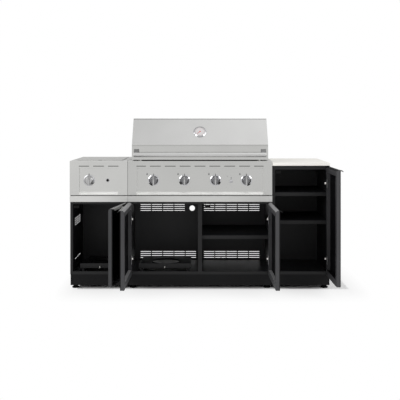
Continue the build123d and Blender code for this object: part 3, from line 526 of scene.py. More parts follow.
BAR_STEEL = BrushedSteel("fine brushed stainless tube", "BABAB9", "C6C6C5", 0.32)
COAT = PowderCoat("satin black powder coat on steel")
# Lighter copies of the black coat inside the cabinets: painted light that stands for light reaching in
BACK_COAT = PowderCoat("satin black powder coat, rear panels", "232325", "2C2C2E", sheen=0.32)
INSIDE_COAT = PowderCoat("satin black powder coat, side panels", "242426", "2C2C2E", sheen=0.28)
FLOOR_COAT = PowderCoat("semi gloss black powder coat, floors", "28282A", "303032", 0.36, sheen=0.34)
PLINTH_COAT = PowderCoat("matt black powder coat on steel", "0E0E0F", "141415", 0.55, sheen=0.14)
# Lighter copies of the door coat for the door tops: painted light from above
DOOR_TOP = PowderCoat("light grey powder coat on aluminium", "686869", "727273", 0.5, sheen=0.3)
GRILL_DOOR_TOP = PowderCoat("pale grey powder coat on aluminium", "7C7C7D", "868687", 0.5, sheen=0.3)
GLASS = PaintedGlass("back painted black glass")
SHELF_COAT = PowderCoat("matt black powder coat, shelf tops", "161618", "1B1B1D", 0.7, sheen=0.05)
# Door linings, and painted shade on the storage door's top
LINING_COAT = PowderCoat("matt black paint, door linings", "08080A", "0C0C0E", 0.7, sheen=0.05)
DOOR_COAT = PowderCoat("dark grey powder coat on aluminium", "363638", "404042", 0.5, sheen=0.3)
HINGE_STEEL = SmoothMetal("zinc plated steel", "6A6A6C", "767678", 0.35)
NICKEL = SmoothMetal("nickel plated steel", "DEDCD8", "E8E6E2", 0.18, relief=0.02)
CHROME = SmoothMetal("polished chrome plate", "B2B2B4", "BEBEC0", 0.07, spread=0.02, relief=0.01)
SATIN = SmoothMetal("satin chrome plate", "B0B0B2", "BCBCBE", 0.32)
KNOB_DARK = SmoothMetal("satin graphite zinc casting", "6E6E70", "7C7C7E", 0.34)
KNOB_LIGHT = SmoothMetal("satin zinc casting", "A8A8A8", "B8B8B8", 0.3)
# Cast aluminium made dark: painted shade behind the handle bar
BRACKET_METAL = SmoothMetal("sand cast aluminium", "727272", "848484", 0.42, relief=0.15)
GAUGE_RING = SmoothMetal("tinted chrome plate", "A2A2A4", "AEAEB0", 0.16, relief=0.02)
TURNED = SmoothMetal("turned steel", "A4A4A4", "B2B2B2", 0.25)
BRASS = SmoothMetal("machined brass", "B89A58", "C6AA68", 0.28)
IRON = Moulded("enamelled cast iron", "131313", "1E1E1E", 0.48, grit_mm=2.0, relief=0.25)
FOOT = Moulded("moulded black nylon, feet", "030303", "070707", 0.6, sheen=0.06)
# Black strip that darkens the gap under the hood's front edge
FIBRE = Moulded("black braided glass fibre", "050505", "090909", 0.8, grit_mm=2.5, relief=0.4, sheen=0.04)
RUBBER = Moulded("moulded grey silicone rubber", "BEBEBA", "CACAC6", 0.65)
# The slab's top with painted shade and its edges with painted light
QUARTZ = QuartzComposite("honed white quartz composite")
QUARTZ_EDGE = QuartzComposite("ground edge of white quartz composite", "F0EEE9", "E0DDD6")
DIAL = Moulded("grey enamelled dial plate", "C2BEBE", "CAC6C6", 0.35, relief=0.03)
BUTTON = Moulded("moulded black nylon", "040404", "080808", 0.45, sheen=0.12)
CATCH = Moulded("moulded black acetal", "0C0C0C", "121212", 0.6, sheen=0.1)
INK = Moulded("dark grey screen print", "4A4A4A", "565656", 0.45, relief=0.03)
PALE_INK = Moulded("mid grey screen print", "767676", "828282", 0.45, relief=0.03)
NEEDLE_PAINT = Moulded("red painted brass", "B02A22", "C03630", 0.35, relief=0.03)


# From surfaces to Blender objects


def placed(name: str, data: bpy.types.ID) -> Object:
    """A new object in the scene."""
    obj = bpy.data.objects.new(name, data)
    bpy.context.scene.collection.objects.link(obj)
    return obj


def link_piece(obj: Object, body: str, hides: Sequence[str]) -> None:
    """Puts a piece on its body and the CAD nodes that it stands for.

    Args:
        obj: the piece.
        body: CAD body that it moves with.
        hides: CAD nodes that it replaces.
    """
    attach(obj, body)
    if hides:
        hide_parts(*hides)
    log.info("%s: %d faces on %s", obj.name, len(obj.data.polygons), body)


def face_finishes(mesh: bpy.types.Mesh, faced: Sequence[tuple[Place, Finish]], spare_ends: bool = False) -> None:
    """Gives the faces that look one way a finish of their own, which on some pieces is painted light or painted shade.

    Args:
        mesh: a mesh with its first finish in place.
        faced: directions and the finishes of the faces that look there.
        spare_ends: whether faces at the mesh's two ends along X keep the first finish.
    """
    count = len(mesh.polygons)
    normals, middles = np.zeros((2, 3 * count), np.float32)
    chosen = np.zeros(count, np.int32)
    mesh.polygons.foreach_get("normal", normals)
    mesh.polygons.foreach_get("center", middles)
    across = middles[::3]
    inner = (across > across.min() + AT_END) & (across < across.max() - AT_END) | (not spare_ends)
    for i, (direction, finish) in enumerate(faced, 1):
        mesh.materials.append(finish.material())
        looks = normals.reshape(-1, 3) @ np.array(direction) > FACING * np.linalg.norm(direction)
        chosen[looks & inner] = i
    mesh.polygons.foreach_set("material_index", chosen)


def make_piece(
    name: str,
    patches: Sequence[Patch],
    finish: Finish,
    body: str,
    hides: Sequence[str] = (),
    wall: float = 0.0,
    faced: Sequence[tuple[Place, Finish]] = (),
) -> None:
    """One mesh from grids: joined at their seams and poles, turned outwards and dressed.

    Args:
        name: the piece's name.
        patches: its grids, in millimetres in the kitchen's frame.
        finish: what it is made of.
        body: CAD body that it moves with.
        hides: CAD nodes that it replaces.
        wall: sheet thickness in millimetres, grown inwards, or 0 for a closed shape.
        faced: directions whose faces have a finish of their own, and that finish.
    """
    points = np.concatenate([p.points.reshape(-1, 3) for p in patches])
    starts = np.cumsum([0] + [p.points.shape[0] * p.points.shape[1] for p in patches[:-1]])
    faces = np.concatenate([p.quads() + s for p, s in zip(patches, starts)])
    mesh = bpy.data.meshes.new(name)
    mesh.from_pydata((points / 1000 + ORIGIN).tolist(), [], faces.tolist())
    work = bmesh.new()
    work.from_mesh(mesh)
    bmesh.ops.remove_doubles(work, verts=work.verts, dist=SEAM)
    bmesh.ops.dissolve_degenerate(work, edges=work.edges, dist=1e-6)
    bmesh.ops.recalc_face_normals(work, faces=work.faces)
    work.to_mesh(mesh)
    work.free()
    mesh.polygons.foreach_set("use_smooth", np.ones(len(mesh.polygons), bool))
    mesh.set_sharp_from_angle(angle=math.radians(CREASE))
    mesh.materials.append(finish.material())
    face_finishes(mesh, faced)
    obj = placed(name, mesh)
    if wall:
        sheet = obj.modifiers.new("sheet", "SOLIDIFY")
        sheet.thickness, sheet.offset, sheet.use_even_offset = wall / 1000, -1.0, True
    flats = obj.modifiers.new("flats", "WEIGHTED_NORMAL")
    flats.keep_sharp = True
    link_piece(obj, body, hides)


def dress(finish: Finish, *nodes: str) -> None:
    """Gives CAD nodes their material and leaves their shapes as they are."""
    for node in nodes:
        mesh = frame["nodes"][node].data
        mesh.materials.clear()
        mesh.materials.append(finish.material())
        log.info("%s: %s", node, finish.title)


def eased_copy(
    node: str,
    finish: Finish,
    width: float,
    shortest: float = 25.0,
    faced: Sequence[tuple[Place, Finish]] = (),
    spare_ends: bool = False,
) -> None:
    """A joined copy of a CAD node with its long sharp edges eased, in the node's place.

    Args:
        node: the CAD node.
        finish: what it is made of.
        width: bevel width in millimetres.
        shortest: edges shorter than this many millimetres stay sharp.
        faced: directions whose faces have a finish of their own, and that finish.
        spare_ends: whether faces at the two ends along X keep the first finish.
    """
    source = frame["nodes"][node]
    mesh = source.data.copy()
    mesh.name = node + "_eased"
    work = bmesh.new()
    work.from_mesh(mesh)
    bmesh.ops.remove_doubles(work, verts=work.verts, dist=CAD_SEAM)
    bmesh.ops.dissolve_limit(work, angle_limit=math.radians(FLAT), verts=work.verts, edges=work.edges)
    weight = work.edges.layers.float.new("bevel_weight_edge")
    for edge in work.edges:
        sharp = edge.is_manifold and edge.calc_face_angle() > math.radians(EASED)
        edge[weight] = float(sharp and edge.calc_length() > shortest / 1000)
    work.to_mesh(mesh)
    work.free()
    mesh.polygons.foreach_set("use_smooth", np.zeros(len(mesh.polygons), bool))
    mesh.materials.clear()
    mesh.materials.append(finish.material())
    face_finishes(mesh, faced, spare_ends)
    obj = placed(node + "_eased", mesh)
    ease = obj.modifiers.new("ease", "BEVEL")
    ease.limit_method, ease.width, ease.segments = "WEIGHT", width / 1000, 2
    ease.use_clamp_overlap = True
    link_piece(obj, source["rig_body"], [node])


# Sub-assemblies


@dataclass
class Hood:
    """Folded stainless hood with its handle, brackets and thermometer."""

    half_width: float = 482.0
    outline: tuple[Pair, ...] = ((29, 907), (29, 1015), (174, 1200), (430, 1200), (560, 975))
    heel: Pair = (500.0, 907.0)
    # Dark line below each of the two front creases, painted shade of the crease: distance from the crease and width
    seams: tuple[Pair, ...] = ((8.0, 1.5), (8.0, 2.3))
    # How high a dark line stands, how deep it is sunk and how far from the hood's ends it stops
    seam_height: float = 0.3
    seam_depth: float = 0.6
    seam_end: float = 2.0
    crease_radius: float = 7.0
    end_edge: float = 3.0
    sheet: float = 1.2
    pivot: Pair = (520.0, 950.0)
    pin_hole: float = 5.0
    bar_place: Pair = (-14.0, 944.0)
    bar_radius: float = 16.0
    bar_half: float = 466.0
    bracket_outer: float = 465.0
    bracket_width: float = 33.0
    bracket_nose: float = 2.0
    bracket_foot: tuple[Pair, ...] = ((20, 982), (29, 982), (29, 934))
    seal_box: Box = ((-408, 8, 900), (408, 46, 906))
    gauge_place: Place = (0.0, 98.02, 1103.06)
    gauge_normal: Place = (0.0, -0.78705, 0.61689)
    gauge_radius: float = 47.5
    dial_level: float = 4.0
    # Inner radius of short and of long ticks, their outer radius, and half of their stretch in degrees
    tick_short: float = 31.0
    tick_long: float = 28.0
    tick_outer: float = 35.0
    tick_half: float = 1.1
    needle_angle: float = 225.0
    needle_ends: Pair = (-6.0, 31.5)
    hub_radius: float = 4.0

    def skin(self) -> None:
        """The folded sheet and its two ends, each with a hole for its pivot pin.

        The side view with rounded creases is carried along X and inset at each end as end_steps says. An end is
        a grid between the outline and a circle round the pivot: point = circle + t * (outline - circle), both
        taken at the same bearing.
        """
        inset, step = end_steps(self.end_edge)
        line = eased_line(self.outline, self.crease_radius, 6)
        run = np.gradient(line, axis=0)
        inward = np.stack([run[:, 1], -run[:, 0]], -1) / np.linalg.norm(run, axis=1)[:, None]
        rows = line + inset[:, None, None] * inward
        patches = [Patch(carried(rows, step, (-self.half_width, self.half_width)))]
        ring = np.concatenate([rows[0], np.array([self.heel])])
        bearing = ring - np.array(self.pivot)
        hole = np.array(self.pivot) + self.pin_hole * bearing / np.linalg.norm(bearing, axis=1)[:, None]
        plate = hole + np.linspace(0, 1, 5)[:, None, None] * (ring - hole)
        for side in Side:
            level = np.full(plate.shape[:2] + (1,), side.value * self.half_width)
            patches.append(Patch(np.concatenate([level, plate], -1), wrap=True))
        front = [((0, -1, 0), BAND_STEEL)]
        make_piece("hood_skin", patches, HOOD_STEEL, "hood", ["hood_shell"], self.sheet, front)

    def seam_lines(self) -> None:
        """Dark strips below the two front creases, painted shade of the creases: thin strips along X, mostly sunk into
        the sheet.

        A strip's side view is a rectangle, point = crease + along * downhill + height * outward normal.
        """
        patches: list[Patch] = []
        ends = (self.seam_end - self.half_width, self.half_width - self.seam_end)
        height = np.array([self.seam_height, -self.seam_depth, -self.seam_depth, self.seam_height])[:, None]
        for (start, width), low, crease in zip(self.seams, self.outline, self.outline[1:]):
            fall = np.array(low) - np.array(crease)
            down = fall / np.linalg.norm(fall)
            along = np.array([start, start, start + width, start + width])[:, None]
            corners = np.array(crease) + along * down + height * np.array([down[1], -down[0]])
            patches += eased_prism(corners, ends, 0.1, 0.1)
        make_piece("hood_seam_lines", patches, BAFFLE_STEEL, "hood")

    def bar(self) -> None:
        """The handle: a tube's outside turned about X, with eased ends."""
        r, h = self.bar_radius, self.bar_half
        profile = eased_line([(0, -h), (r, -h), (r, h), (0, h)], 3.0)
        patch = turned(profile, (0.0, *self.bar_place), RIGHT, 40)
        make_piece("hood_handle", [patch], BAR_STEEL, "hood", ["hood_handle_bar"])

    def brackets(self) -> None:
        """Two cast arms behind the bar, darkened with painted shade: a rounded side view carried along X, its nose
        inside the tube.
        """
        y, z = self.bar_place
        nose = y + self.bracket_nose
        arm = [(nose, z), (nose, z + self.bar_radius - self.bracket_nose), *self.bracket_foot]
        patches: list[Patch] = []
        for side in Side:
            ends = sorted(side.value * x for x in (self.bracket_outer, self.bracket_outer - self.bracket_width))
            patches += eased_prism(arm, (ends[0], ends[1]), 3.0, 2.0)
        make_piece("hood_brackets", patches, BRACKET_METAL, "hood", ["hood_handle_brackets"])

    def gauge_basis(self) -> Basis:
        """Across, up the slope and out of the slope."""
        _, y, z = self.gauge_normal
        return Basis((1, 0, 0), (0, z, -y), self.gauge_normal)

    def tick(self, basis: Basis, bearing: float) -> Patch:
        """A printed line of the scale: a closed band over a small stretch of bearing, 0.1 mm thick."""
        turn = np.radians(np.linspace(bearing - self.tick_half, bearing + self.tick_half, 3))[:, None]
        inner = self.tick_short if bearing % 45 else self.tick_long
        radius = np.array([[inner, self.tick_outer, self.tick_outer, inner]])
        height = np.broadcast_to(self.dial_level + np.array([0.16, 0.16, 0.26, 0.26]), (3, 4))
        return Patch(basis.lay(self.gauge_place, radius * np.cos(turn), radius * np.sin(turn), height), wrap=True)

    def gauge(self) -> None:
        """Case with a sloped ring and dial plate of the thermometer, both turned profiles, and its scale."""
        basis, r, z = self.gauge_basis(), self.gauge_radius, self.dial_level
        case = [(0, -60), (5, -60), (5, 0), (r - 0.5, 0), (r, 0.6), (r, 1.8), (r - 8.2, 7.3), (r - 9, 7.3)]
        case += [(r - 9.4, 6.8), (r - 9.4, z), (0, z)]
        disc = np.array([(0, z + 0.02), (0, z + 0.15), (r - 9.6, z + 0.15), (r - 9.6, z + 0.02)])
        shell, plate = (turned(line, self.gauge_place, basis, 64) for line in (eased_line(case, 0.6), disc))
        ticks = [self.tick(basis, bearing) for bearing in range(-45, 226, 15)]
        make_piece("thermometer_case", [shell], GAUGE_RING, "hood", ["thermometer"])
        make_piece("thermometer_dial", [plate], DIAL, "hood")
        make_piece("thermometer_scale", ticks, INK, "hood")

    def needle(self) -> None:
        """A tapered pointer with a round hub, turned to its cold rest."""
        basis, a = self.gauge_basis(), math.radians(self.needle_angle)
        across, up = np.array(basis.across), np.array(basis.up)
        ahead, aside = math.cos(a) * across + math.sin(a) * up, -math.sin(a) * across + math.cos(a) * up
        tail, tip = self.needle_ends
        reach = np.linspace(tail, tip, 8)[:, None]
        half = np.interp(reach, [tail, 0, tip], [1.2, 1.5, 0.35]) * np.array([[-1, 1, 1, -1]])
        height = np.broadcast_to(self.dial_level + np.array([[0.35, 0.35, 1.05, 1.05]]), (8, 4))
        pointing = Basis(tuple(ahead), tuple(aside), basis.along)
        blade = pointing.lay(self.gauge_place, np.repeat(reach, 4, 1), half, height)
        low, high, r = self.dial_level + 0.32, self.dial_level + 1.3, self.hub_radius
        hub = turned(eased_line([(0, low), (r, low), (r, high), (0, high)], 0.3), self.gauge_place, basis, 24)
        patches = [Patch(blade, wrap=True), flat_fan(blade[0]), flat_fan(blade[-1]), hub]
        make_piece("gauge_needle", patches, NEEDLE_PAINT, "needle", ["thermometer_needle"])

    def build(self) -> None:
        """Builds every piece of the hood, and a black strip on the deck just inside its front edge that makes the gap
        below the hood dark.
        """
        self.skin()
        self.seam_lines()
        self.bar()
        self.brackets()
        make_piece("hood_seal", rounded_block(*self.seal_box, 2.0), FIBRE, "frame")
        self.gauge()
        self.needle()


@dataclass
class Controls:
    """Knobs, bezels, igniters and printed marks of both control panels."""

    panel_y: float = 16.0
    level: float = 763.0
    grill_x: tuple[float, ...] = (-327.0, -109.0, 109.0, 327.0)
    side_x: float = -782.0
    bezel_radius: float = 40.0
    knob_y: float = 8.0
    knob_radius: float = 30.5
    knob_body: float = 25.5
    # Radius and depth of the hole for the valve stem
    knob_bore: Pair = (4.1, 15.5)
    main_igniter: Pair = (218.0, 756.0)
    side_igniter: Pair = (-651.0, 763.0)
    # Flame marks: place from a knob, or from the igniter in X and the floor in Z, and half of width and height
    knob_mark: tuple[float, ...] = (-46.0, 45.0, 8.0, 9.0)
    igniter_marks: tuple[tuple[float, ...], ...] = ((2.0, 781.0, 5.5, 6.5), (-24.0, 792.0, 3.0, 4.0))
    # Corners of the grip bar, pointer line and index fin, with X and Z from a knob's middle
    grip: Box = ((-6.5, -16.0, -30.0), (6.5, -6.6, 30.0))
    pointer: Box = ((-1.1, -16.12, 6.0), (1.1, -15.4, 27.5))
    fin: Box = ((-2.0, 7.2, 32.0), (2.0, 16.0, 46.5))

    def bezels(self) -> None:
        """Chrome dishes with a sloped rim round the knobs and flanged sockets of the igniters, turned about Y."""
        r = self.bezel_radius
        dish = [(6, 0), (r, 0), (r, 4.6), (r - 7, 7.6), (r - 7.8, 8), (r - 8.4, 7.4), (r - 8.6, 3), (6, 3), (6, 0)]
        line, xs = eased_line(dish, 0.6), (self.side_x, *self.grill_x)
        side, *grill = [turned(line, (x, self.panel_y, self.level), FRONT, 56) for x in xs]
        make_piece("control_bezel_rings", grill, CHROME, "frame", ["control_bezels"])
        make_piece("side_bezel_ring", [side], SATIN, "frame")
        cup = [(9.1, -17), (9.1, 3), (12.2, 3), (13, 2.2), (13, 0), (11.5, 0), (11.5, -20), (0, -20), (0, -17)]
        line, places = np.array([*cup, cup[0]]), (self.main_igniter, self.side_igniter)
        sockets = [turned(line, (x, self.panel_y, z), FRONT, 32) for x, z in places]
        make_piece("igniter_sockets", sockets, SATIN, "frame")

    def block(self, box: Box, x: float, radius: float, steps: int = 3) -> list[Patch]:
        """A rounded block about the middle of the knob at x."""
        low, high = (tuple(np.array(corner) + (x, 0.0, self.level)) for corner in box)
        return rounded_block(low, high, radius, steps)

    def knob(self, name: str, node: str, body: str, x: float, finish: Finish) -> None:
        """A knob: a turned skirt and body, an eased grip bar and an inlaid pointer line.

        Args:
            name: piece name.
            node: CAD node that it replaces.
            body: CAD body that it rides on.
            x: place along the panel.
            finish: metal of the body.
        """
        r, b, (bore, depth) = self.knob_radius, self.knob_body, self.knob_bore
        line = [(0, depth), (bore, depth), (bore, 0), (r - 1, 0), (r, 1), (r, 4.5), (r - 2, 6.6)]
        line += [(b + 1.5, 7.4), (b, 9), (b - 1.5, 14.5), (b - 4, 16), (0, 16.6)]
        body_patch = turned(eased_line(line, 1.2), (x, self.knob_y, self.level), FRONT, 56)
        make_piece(name, [body_patch], finish, body, [node])
        make_piece(name + "_grip", self.block(self.grip, x, 3.2), KNOB_LIGHT, body)
        make_piece(name + "_pointer", self.block(self.pointer, x, 0.3, 2), INK, body)

    def buttons(self) -> None:
        """Push buttons: a domed cap turned about Y."""
        line = eased_line([(0, -11), (9, -11), (9, 7.2), (6.5, 8.7), (0, 9)], 0.8)
        for body, (x, z), finish, slot in (
            ("main_igniter", self.main_igniter, SATIN, "chrome"),
            ("side_igniter", self.side_igniter, BUTTON, "black_plastic"),
        ):
            cap = turned(line, (x, self.panel_y, z), FRONT, 32)
            make_piece(body + "_cap", [cap], finish, body, [body + "_button"])

    def mark(self, x: float, z: float, width: float, height: float) -> list[Patch]:
        """A printed drop-shaped flame mark, 0.1 mm proud of the panel.

        The edge is (width * sin a * sin(a / 2) ** 1.4, height * cos a), pointed at the top.

        Args:
            x: middle along the panel.
            z: middle height.
            width: half of the widest measure, about.
            height: half of its height.

        Returns:
            Rim and face of the mark.
        """
        a = np.linspace(0, 2 * np.pi, 24, endpoint=False)
        across, up = width * np.sin(a) * np.abs(np.sin(a / 2)) ** 1.4, height * np.cos(a)
        rims = [FRONT.lay((x, self.panel_y, z), across, up, np.full(24, h)) for h in (0.0, 0.1)]
        return [Patch(np.stack(rims), wrap=True), flat_fan(rims[0]), flat_fan(rims[1])]

    def marks(self) -> None:
        """Flame marks up and left of each grill knob, two by the igniter, and an index fin on each bezel's top."""
        aside, above, *half = self.knob_mark
        spots = [(x + aside, self.level + above, *half) for x in self.grill_x]
        spots += [(self.main_igniter[0] + x, *rest) for x, *rest in self.igniter_marks]
        flames = [p for spot in spots for p in self.mark(*spot)]
        make_piece("panel_marks", flames, PALE_INK, "frame")
        fins = [p for x in (self.side_x, *self.grill_x) for p in self.block(self.fin, x, 0.6, 2)]
        make_piece("bezel_index_fins", fins, INK, "frame")

    def build(self) -> None:
        """Builds every control."""
        self.bezels()
        self.knob("side_burner_knob", "side_knob", "side_knob", self.side_x, KNOB_LIGHT)
        for i, x in enumerate(self.grill_x, 1):
            self.knob(f"grill_knob_{i}", f"knob_{i}", f"burner_{i}_knob", x, KNOB_DARK)
        self.buttons()
        self.marks()


@dataclass
class StoneTop:
    """Quartz slab on the storage cabinet."""

    edge: float = 2.5

    def build(self) -> None:
        """A block with eased edges, as large as the CAD slab."""
        low, high = ((np.array(corner) - ORIGIN) * 1000 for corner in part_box("quartz_slab"))
        patches = rounded_block(tuple(low), tuple(high), self.edge)
        # The top gets a darker tone and the edges a lighter one: painted shade and painted light
        top = [((0, 0, 1), QUARTZ)]
        make_piece("stone_top", patches, QUARTZ_EDGE, "frame", ["quartz_slab"], faced=top)


@dataclass
class Feet:
    """Levelling feet under the cabinets."""

    front: float = 20.0
    edge: float = 34.0
    height: float = 22.5

    def build(self) -> None:
        """Turned pads with a neck and a lock nut."""
        line = [(0, 0), (23.6, 0), (25, 1.4), (25, 8), (21, 11), (17, 12), (17, self.height), (0, self.height)]
        profile = eased_line(line, 1.2)
        xs = [x for low, high, _ in CABINETS for x in (low + self.edge, high - self.edge)]
        ys = (self.front + self.edge, REAR_Y - self.edge)
        patches = [turned(profile, (x, y, 0.0), UP, 28) for x in xs for y in ys]
        make_piece("foot_pads", patches, FOOT, "frame", ["levelling_feet"])


@dataclass
class Carcass:
    """Coated steel cabinets: panels, frames, shelves, plinths and their screws."""

    screw_radius: float = 5.0
    screw_margin: float = 14.0
    screw_low: float = 112.0
    # A rear panel wider than this has four screws along its edges and not two
    wide: float = 500.0

    def screws(self) -> None:
        """Pan-head screws along the edges of the three rear panels, turned about Y."""
        line = eased_line([(0, 0), (self.screw_radius, 0), (self.screw_radius, 1.2), (3.2, 2.6), (0, 2.9)], 0.5)
        places: list[Place] = []
        for low, high, top in CABINETS:
            left, right = low + self.screw_margin, high - self.screw_margin
            xs = np.linspace(left, right, 4 if high - low > self.wide else 2)
            places += [(float(x), REAR_Y, z) for x in xs for z in (self.screw_low, top - self.screw_margin)]
            places += [(x, REAR_Y, (REAR_FOOT + top) / 2) for x in (left, right)]
        make_piece("rear_panel_screws", [turned(line, p, REAR, 16) for p in places], NICKEL, "frame")

    def build(self) -> None:
        """Dresses the cabinets."""
        # Backs, floors, side panels and tray runners get the lighter coats: painted light
        dress(BACK_COAT, "cabinet_backs")
        dress(FLOOR_COAT, "cabinet_floors")
        dress(INSIDE_COAT, "cabinet_side_panels", "tray_runners")
        dress(COAT, "left_cylinder_tray", "grill_cylinder_tray")
        eased_copy("shelves", COAT, 1.0, faced=[((0, 0, 1), SHELF_COAT)])
        eased_copy("face_frames", COAT, 1.0)
        eased_copy("grill_cabinet_divider", COAT, 1.0)
        eased_copy("plinths", PLINTH_COAT, 1.2)
        dress(CATCH, "door_catches")
        dress(NICKEL, "module_link_bolts")
        self.screws()


@dataclass(frozen=True)
class Door:
    """A door: its name, the finish of its top, which paints light there on three doors and shade on the storage door,
    and its hinges.
    """

    name: str
    # Where the inner side looks when open, in degrees from the right towards the rear
    bearing: float
    top: Finish
    # Hinge axis and inner edge of the stile, along X, and the heights of the hinges
    pivot: float
    stile: float
    levels: Pair = (208.0, 488.0)


@dataclass
class Doors:
    """Framed doors with back painted panels, and their hinges."""

    # The first three tops carry painted light and the storage door's black top carries painted shade
    doors: tuple[Door, ...] = (
        Door("left_door", 171.0, DOOR_TOP, -520.0, -529.0),
        Door("grill_left_door", -0.5, GRILL_DOOR_TOP, -498.0, -489.0),
        Door("grill_right_door", 180.5, GRILL_DOOR_TOP, 498.0, 489.0),
        Door("storage_door", 180.5, LINING_COAT, 906.0, 897.0, (208.0, 741.0)),
    )
    plate_reach: float = 7.0
    plate_half: float = 28.0
    plate_y: Pair = (22.0, 36.0)
    # Radius, half height, place in Y and reach past the plate
    knuckle: tuple[float, ...] = (7.5, 7.5, 28.5, 3.5)
    inner_face: float = 18.0
    leaf: Pair = (12.5, 41.0)
    leaf_half: float = 30.0
    leaf_thickness: float = 2.0
    leaf_sunk: float = 0.2

    def hinges(self) -> None:
        """A mounting plate on each stile's inner edge, an eased block, and a round knuckle turned about Z on it."""
        radius, half, y, past = self.knuckle
        barrel = eased_line([(0, -half), (radius, -half), (radius, half), (0, half)], 1.5)
        plates: list[Patch] = []
        knuckles: list[Patch] = []
        for door in self.doors:
            sign = math.copysign(1, door.stile - door.pivot)
            left, right = sorted((door.stile, door.stile + sign * self.plate_reach))
            for z in door.levels:
                low, high = z - self.plate_half, z + self.plate_half
                plates += rounded_block((left, self.plate_y[0], low), (right, self.plate_y[1], high), 1.6)
                knuckles.append(turned(barrel, (door.stile + sign * (self.plate_reach + past), y, z), UP, 24))
        make_piece("hinge_mounting_plates", plates, HINGE_STEEL, "frame")
        make_piece("hinge_knuckles", knuckles, NICKEL, "frame")

    def leaves(self, door: Door, x: float, y: float) -> None:
        """Hinge leaves on a door's inner face: eased plates laid along the open door from its pivot.

        Args:
            door: the door, whose name is its body's too.
            x: direction of the inner face in X.
            y: direction of the inner face in Y.
        """
        turn = 1 if x > 0 else -1
        basis = Basis((turn * y, -turn * x, 0), (0, 0, 1), (x, y, 0))
        near, far = self.inner_face - self.leaf_sunk, self.inner_face + self.leaf_thickness
        block = rounded_block((self.leaf[0], -self.leaf_half, near), (self.leaf[1], self.leaf_half, far), 0.8)
        places = [(door.pivot, 0.0, z) for z in door.levels]
        patches = [Patch(basis.lay(place, *np.moveaxis(p.points, -1, 0))) for place in places for p in block]
        make_piece(door.name + "_hinge_leaves", patches, SATIN, door.name)

    def build(self) -> None:
        """Eases the frames' and panels' long edges and dresses the hinges."""
        for door in self.doors:
            x, y = math.cos(math.radians(door.bearing)), math.sin(math.radians(door.bearing))
            # Upward faces and the inner chamfer get the top finish: painted light, and painted shade on the storage
            # door
            eased_copy(door.name + "_frame", DOOR_COAT, 0.8, faced=[((0, 0, 1), door.top), ((x, y, 1), door.top)])
            eased_copy(door.name + "_panel", GLASS, 0.5, faced=[((x, y, 0), LINING_COAT)])
            self.leaves(door, x, y)
        dress(NICKEL, "door_hinge_arms", "hinge_pins")
        self.hinges()


@dataclass
class Trays:
    """Thumbscrews that lock the gas-cylinder trays."""

    # Front and rear of a wing, its middle height, and half of its width and height
    wing_y: Pair = (65.0, 71.5)
    level: float = 141.0
    wing: Pair = (1.9, 7.0)
    places: tuple[tuple[str, float], ...] = (("left_cylinder", -713.0), ("grill_cylinder", -251.0))

    def build(self) -> None:
        """A thin upright wing in front of the CAD tray's own screw head."""
        half, reach = self.wing
        for name, x in self.places:
            low = (x - half, self.wing_y[0], self.level - reach)
            high = (x + half, self.wing_y[1], self.level + reach)
            make_piece(name + "_wing_screw", rounded_block(low, high, 1.2), NICKEL, name + "_drawer")


@dataclass
class Grill:
    """Stainless bodies, tops, burners and grates."""

    # Front and rear, foot and top, and ends of the dark strips behind the slots, which are painted shade
    baffle_y: Pair = (9.0, 10.2)
    baffle_z: Pair = (853.0, 874.0)
    baffle_x: tuple[Pair, ...] = ((-900.0, -526.0), (-490.0, 490.0))
    # Shorter edges of the control panels stay sharp: those of the slots
    slot_edge: float = 100.0

    def baffles(self) -> None:
        """Dark strips behind the slots of both control panels: painted shade seen through the slots."""
        patches: list[Patch] = []
        for left, right in self.baffle_x:
            low, high = zip((left, right), self.baffle_y, self.baffle_z)
            patches += rounded_block(low, high, 0.4)
        make_piece("slot_baffles", patches, BAFFLE_STEEL, "frame")

    def build(self) -> None:
        """Dresses the grill and the side burner."""
        # The ledge under each control recess and the recess's two side walls get a far lighter steel: painted light
        folds = [(direction, LEDGE_STEEL) for direction in ((0, -1, 1), (1, 0, 0), (-1, 0, 0))]
        for node, finish in (("grill_control_panel", STEEL), ("side_burner_control_panel", SIDE_STEEL)):
            eased_copy(node, finish, 1.0, self.slot_edge, folds, spare_ends=True)
        # The casings' lighter steel is painted light
        dress(STRIP_STEEL, "grill_body", "grease_tray")
        dress(SIDE_STRIP_STEEL, "side_burner_body")
        # The tops' darker steel is painted shade
        dress(DECK_STEEL, "grill_top_deck", "side_burner_deck", "side_burner_lid")
        dress(DULL_STEEL, "firebox", "flame_tamers", "burner_tubes", "side_burner_bowl")
        dress(IRON, "cooking_grates", "side_burner_pan_support", "side_burner_head")
        dress(BRASS, "gas_manifold")
        dress(TURNED, "side_valve_stem", *(f"valve_stem_{i}" for i in range(1, 5)))
        dress(RUBBER, "hood_bumpers")
        self.baffles()


@dataclass(frozen=True)
class Lamp:
    """A soft box: its place, aim and size in metres, and its power in watts."""

    name: str
    place: Place
    aim: Place
    size: Pair
    watts: float

    def build(self) -> None:
        """Hangs the lamp, turned to its aim."""
        data = bpy.data.lights.new(self.name, "AREA")
        data.shape, data.energy = "RECTANGLE", self.watts
        data.size, data.size_y = self.size
        x, y, z = np.array(self.place) - np.array(self.aim)
        obj = placed(self.name, data)
        obj.location = self.place
        obj.rotation_euler = (math.atan2(math.hypot(x, y), z), 0, math.atan2(x, -y))


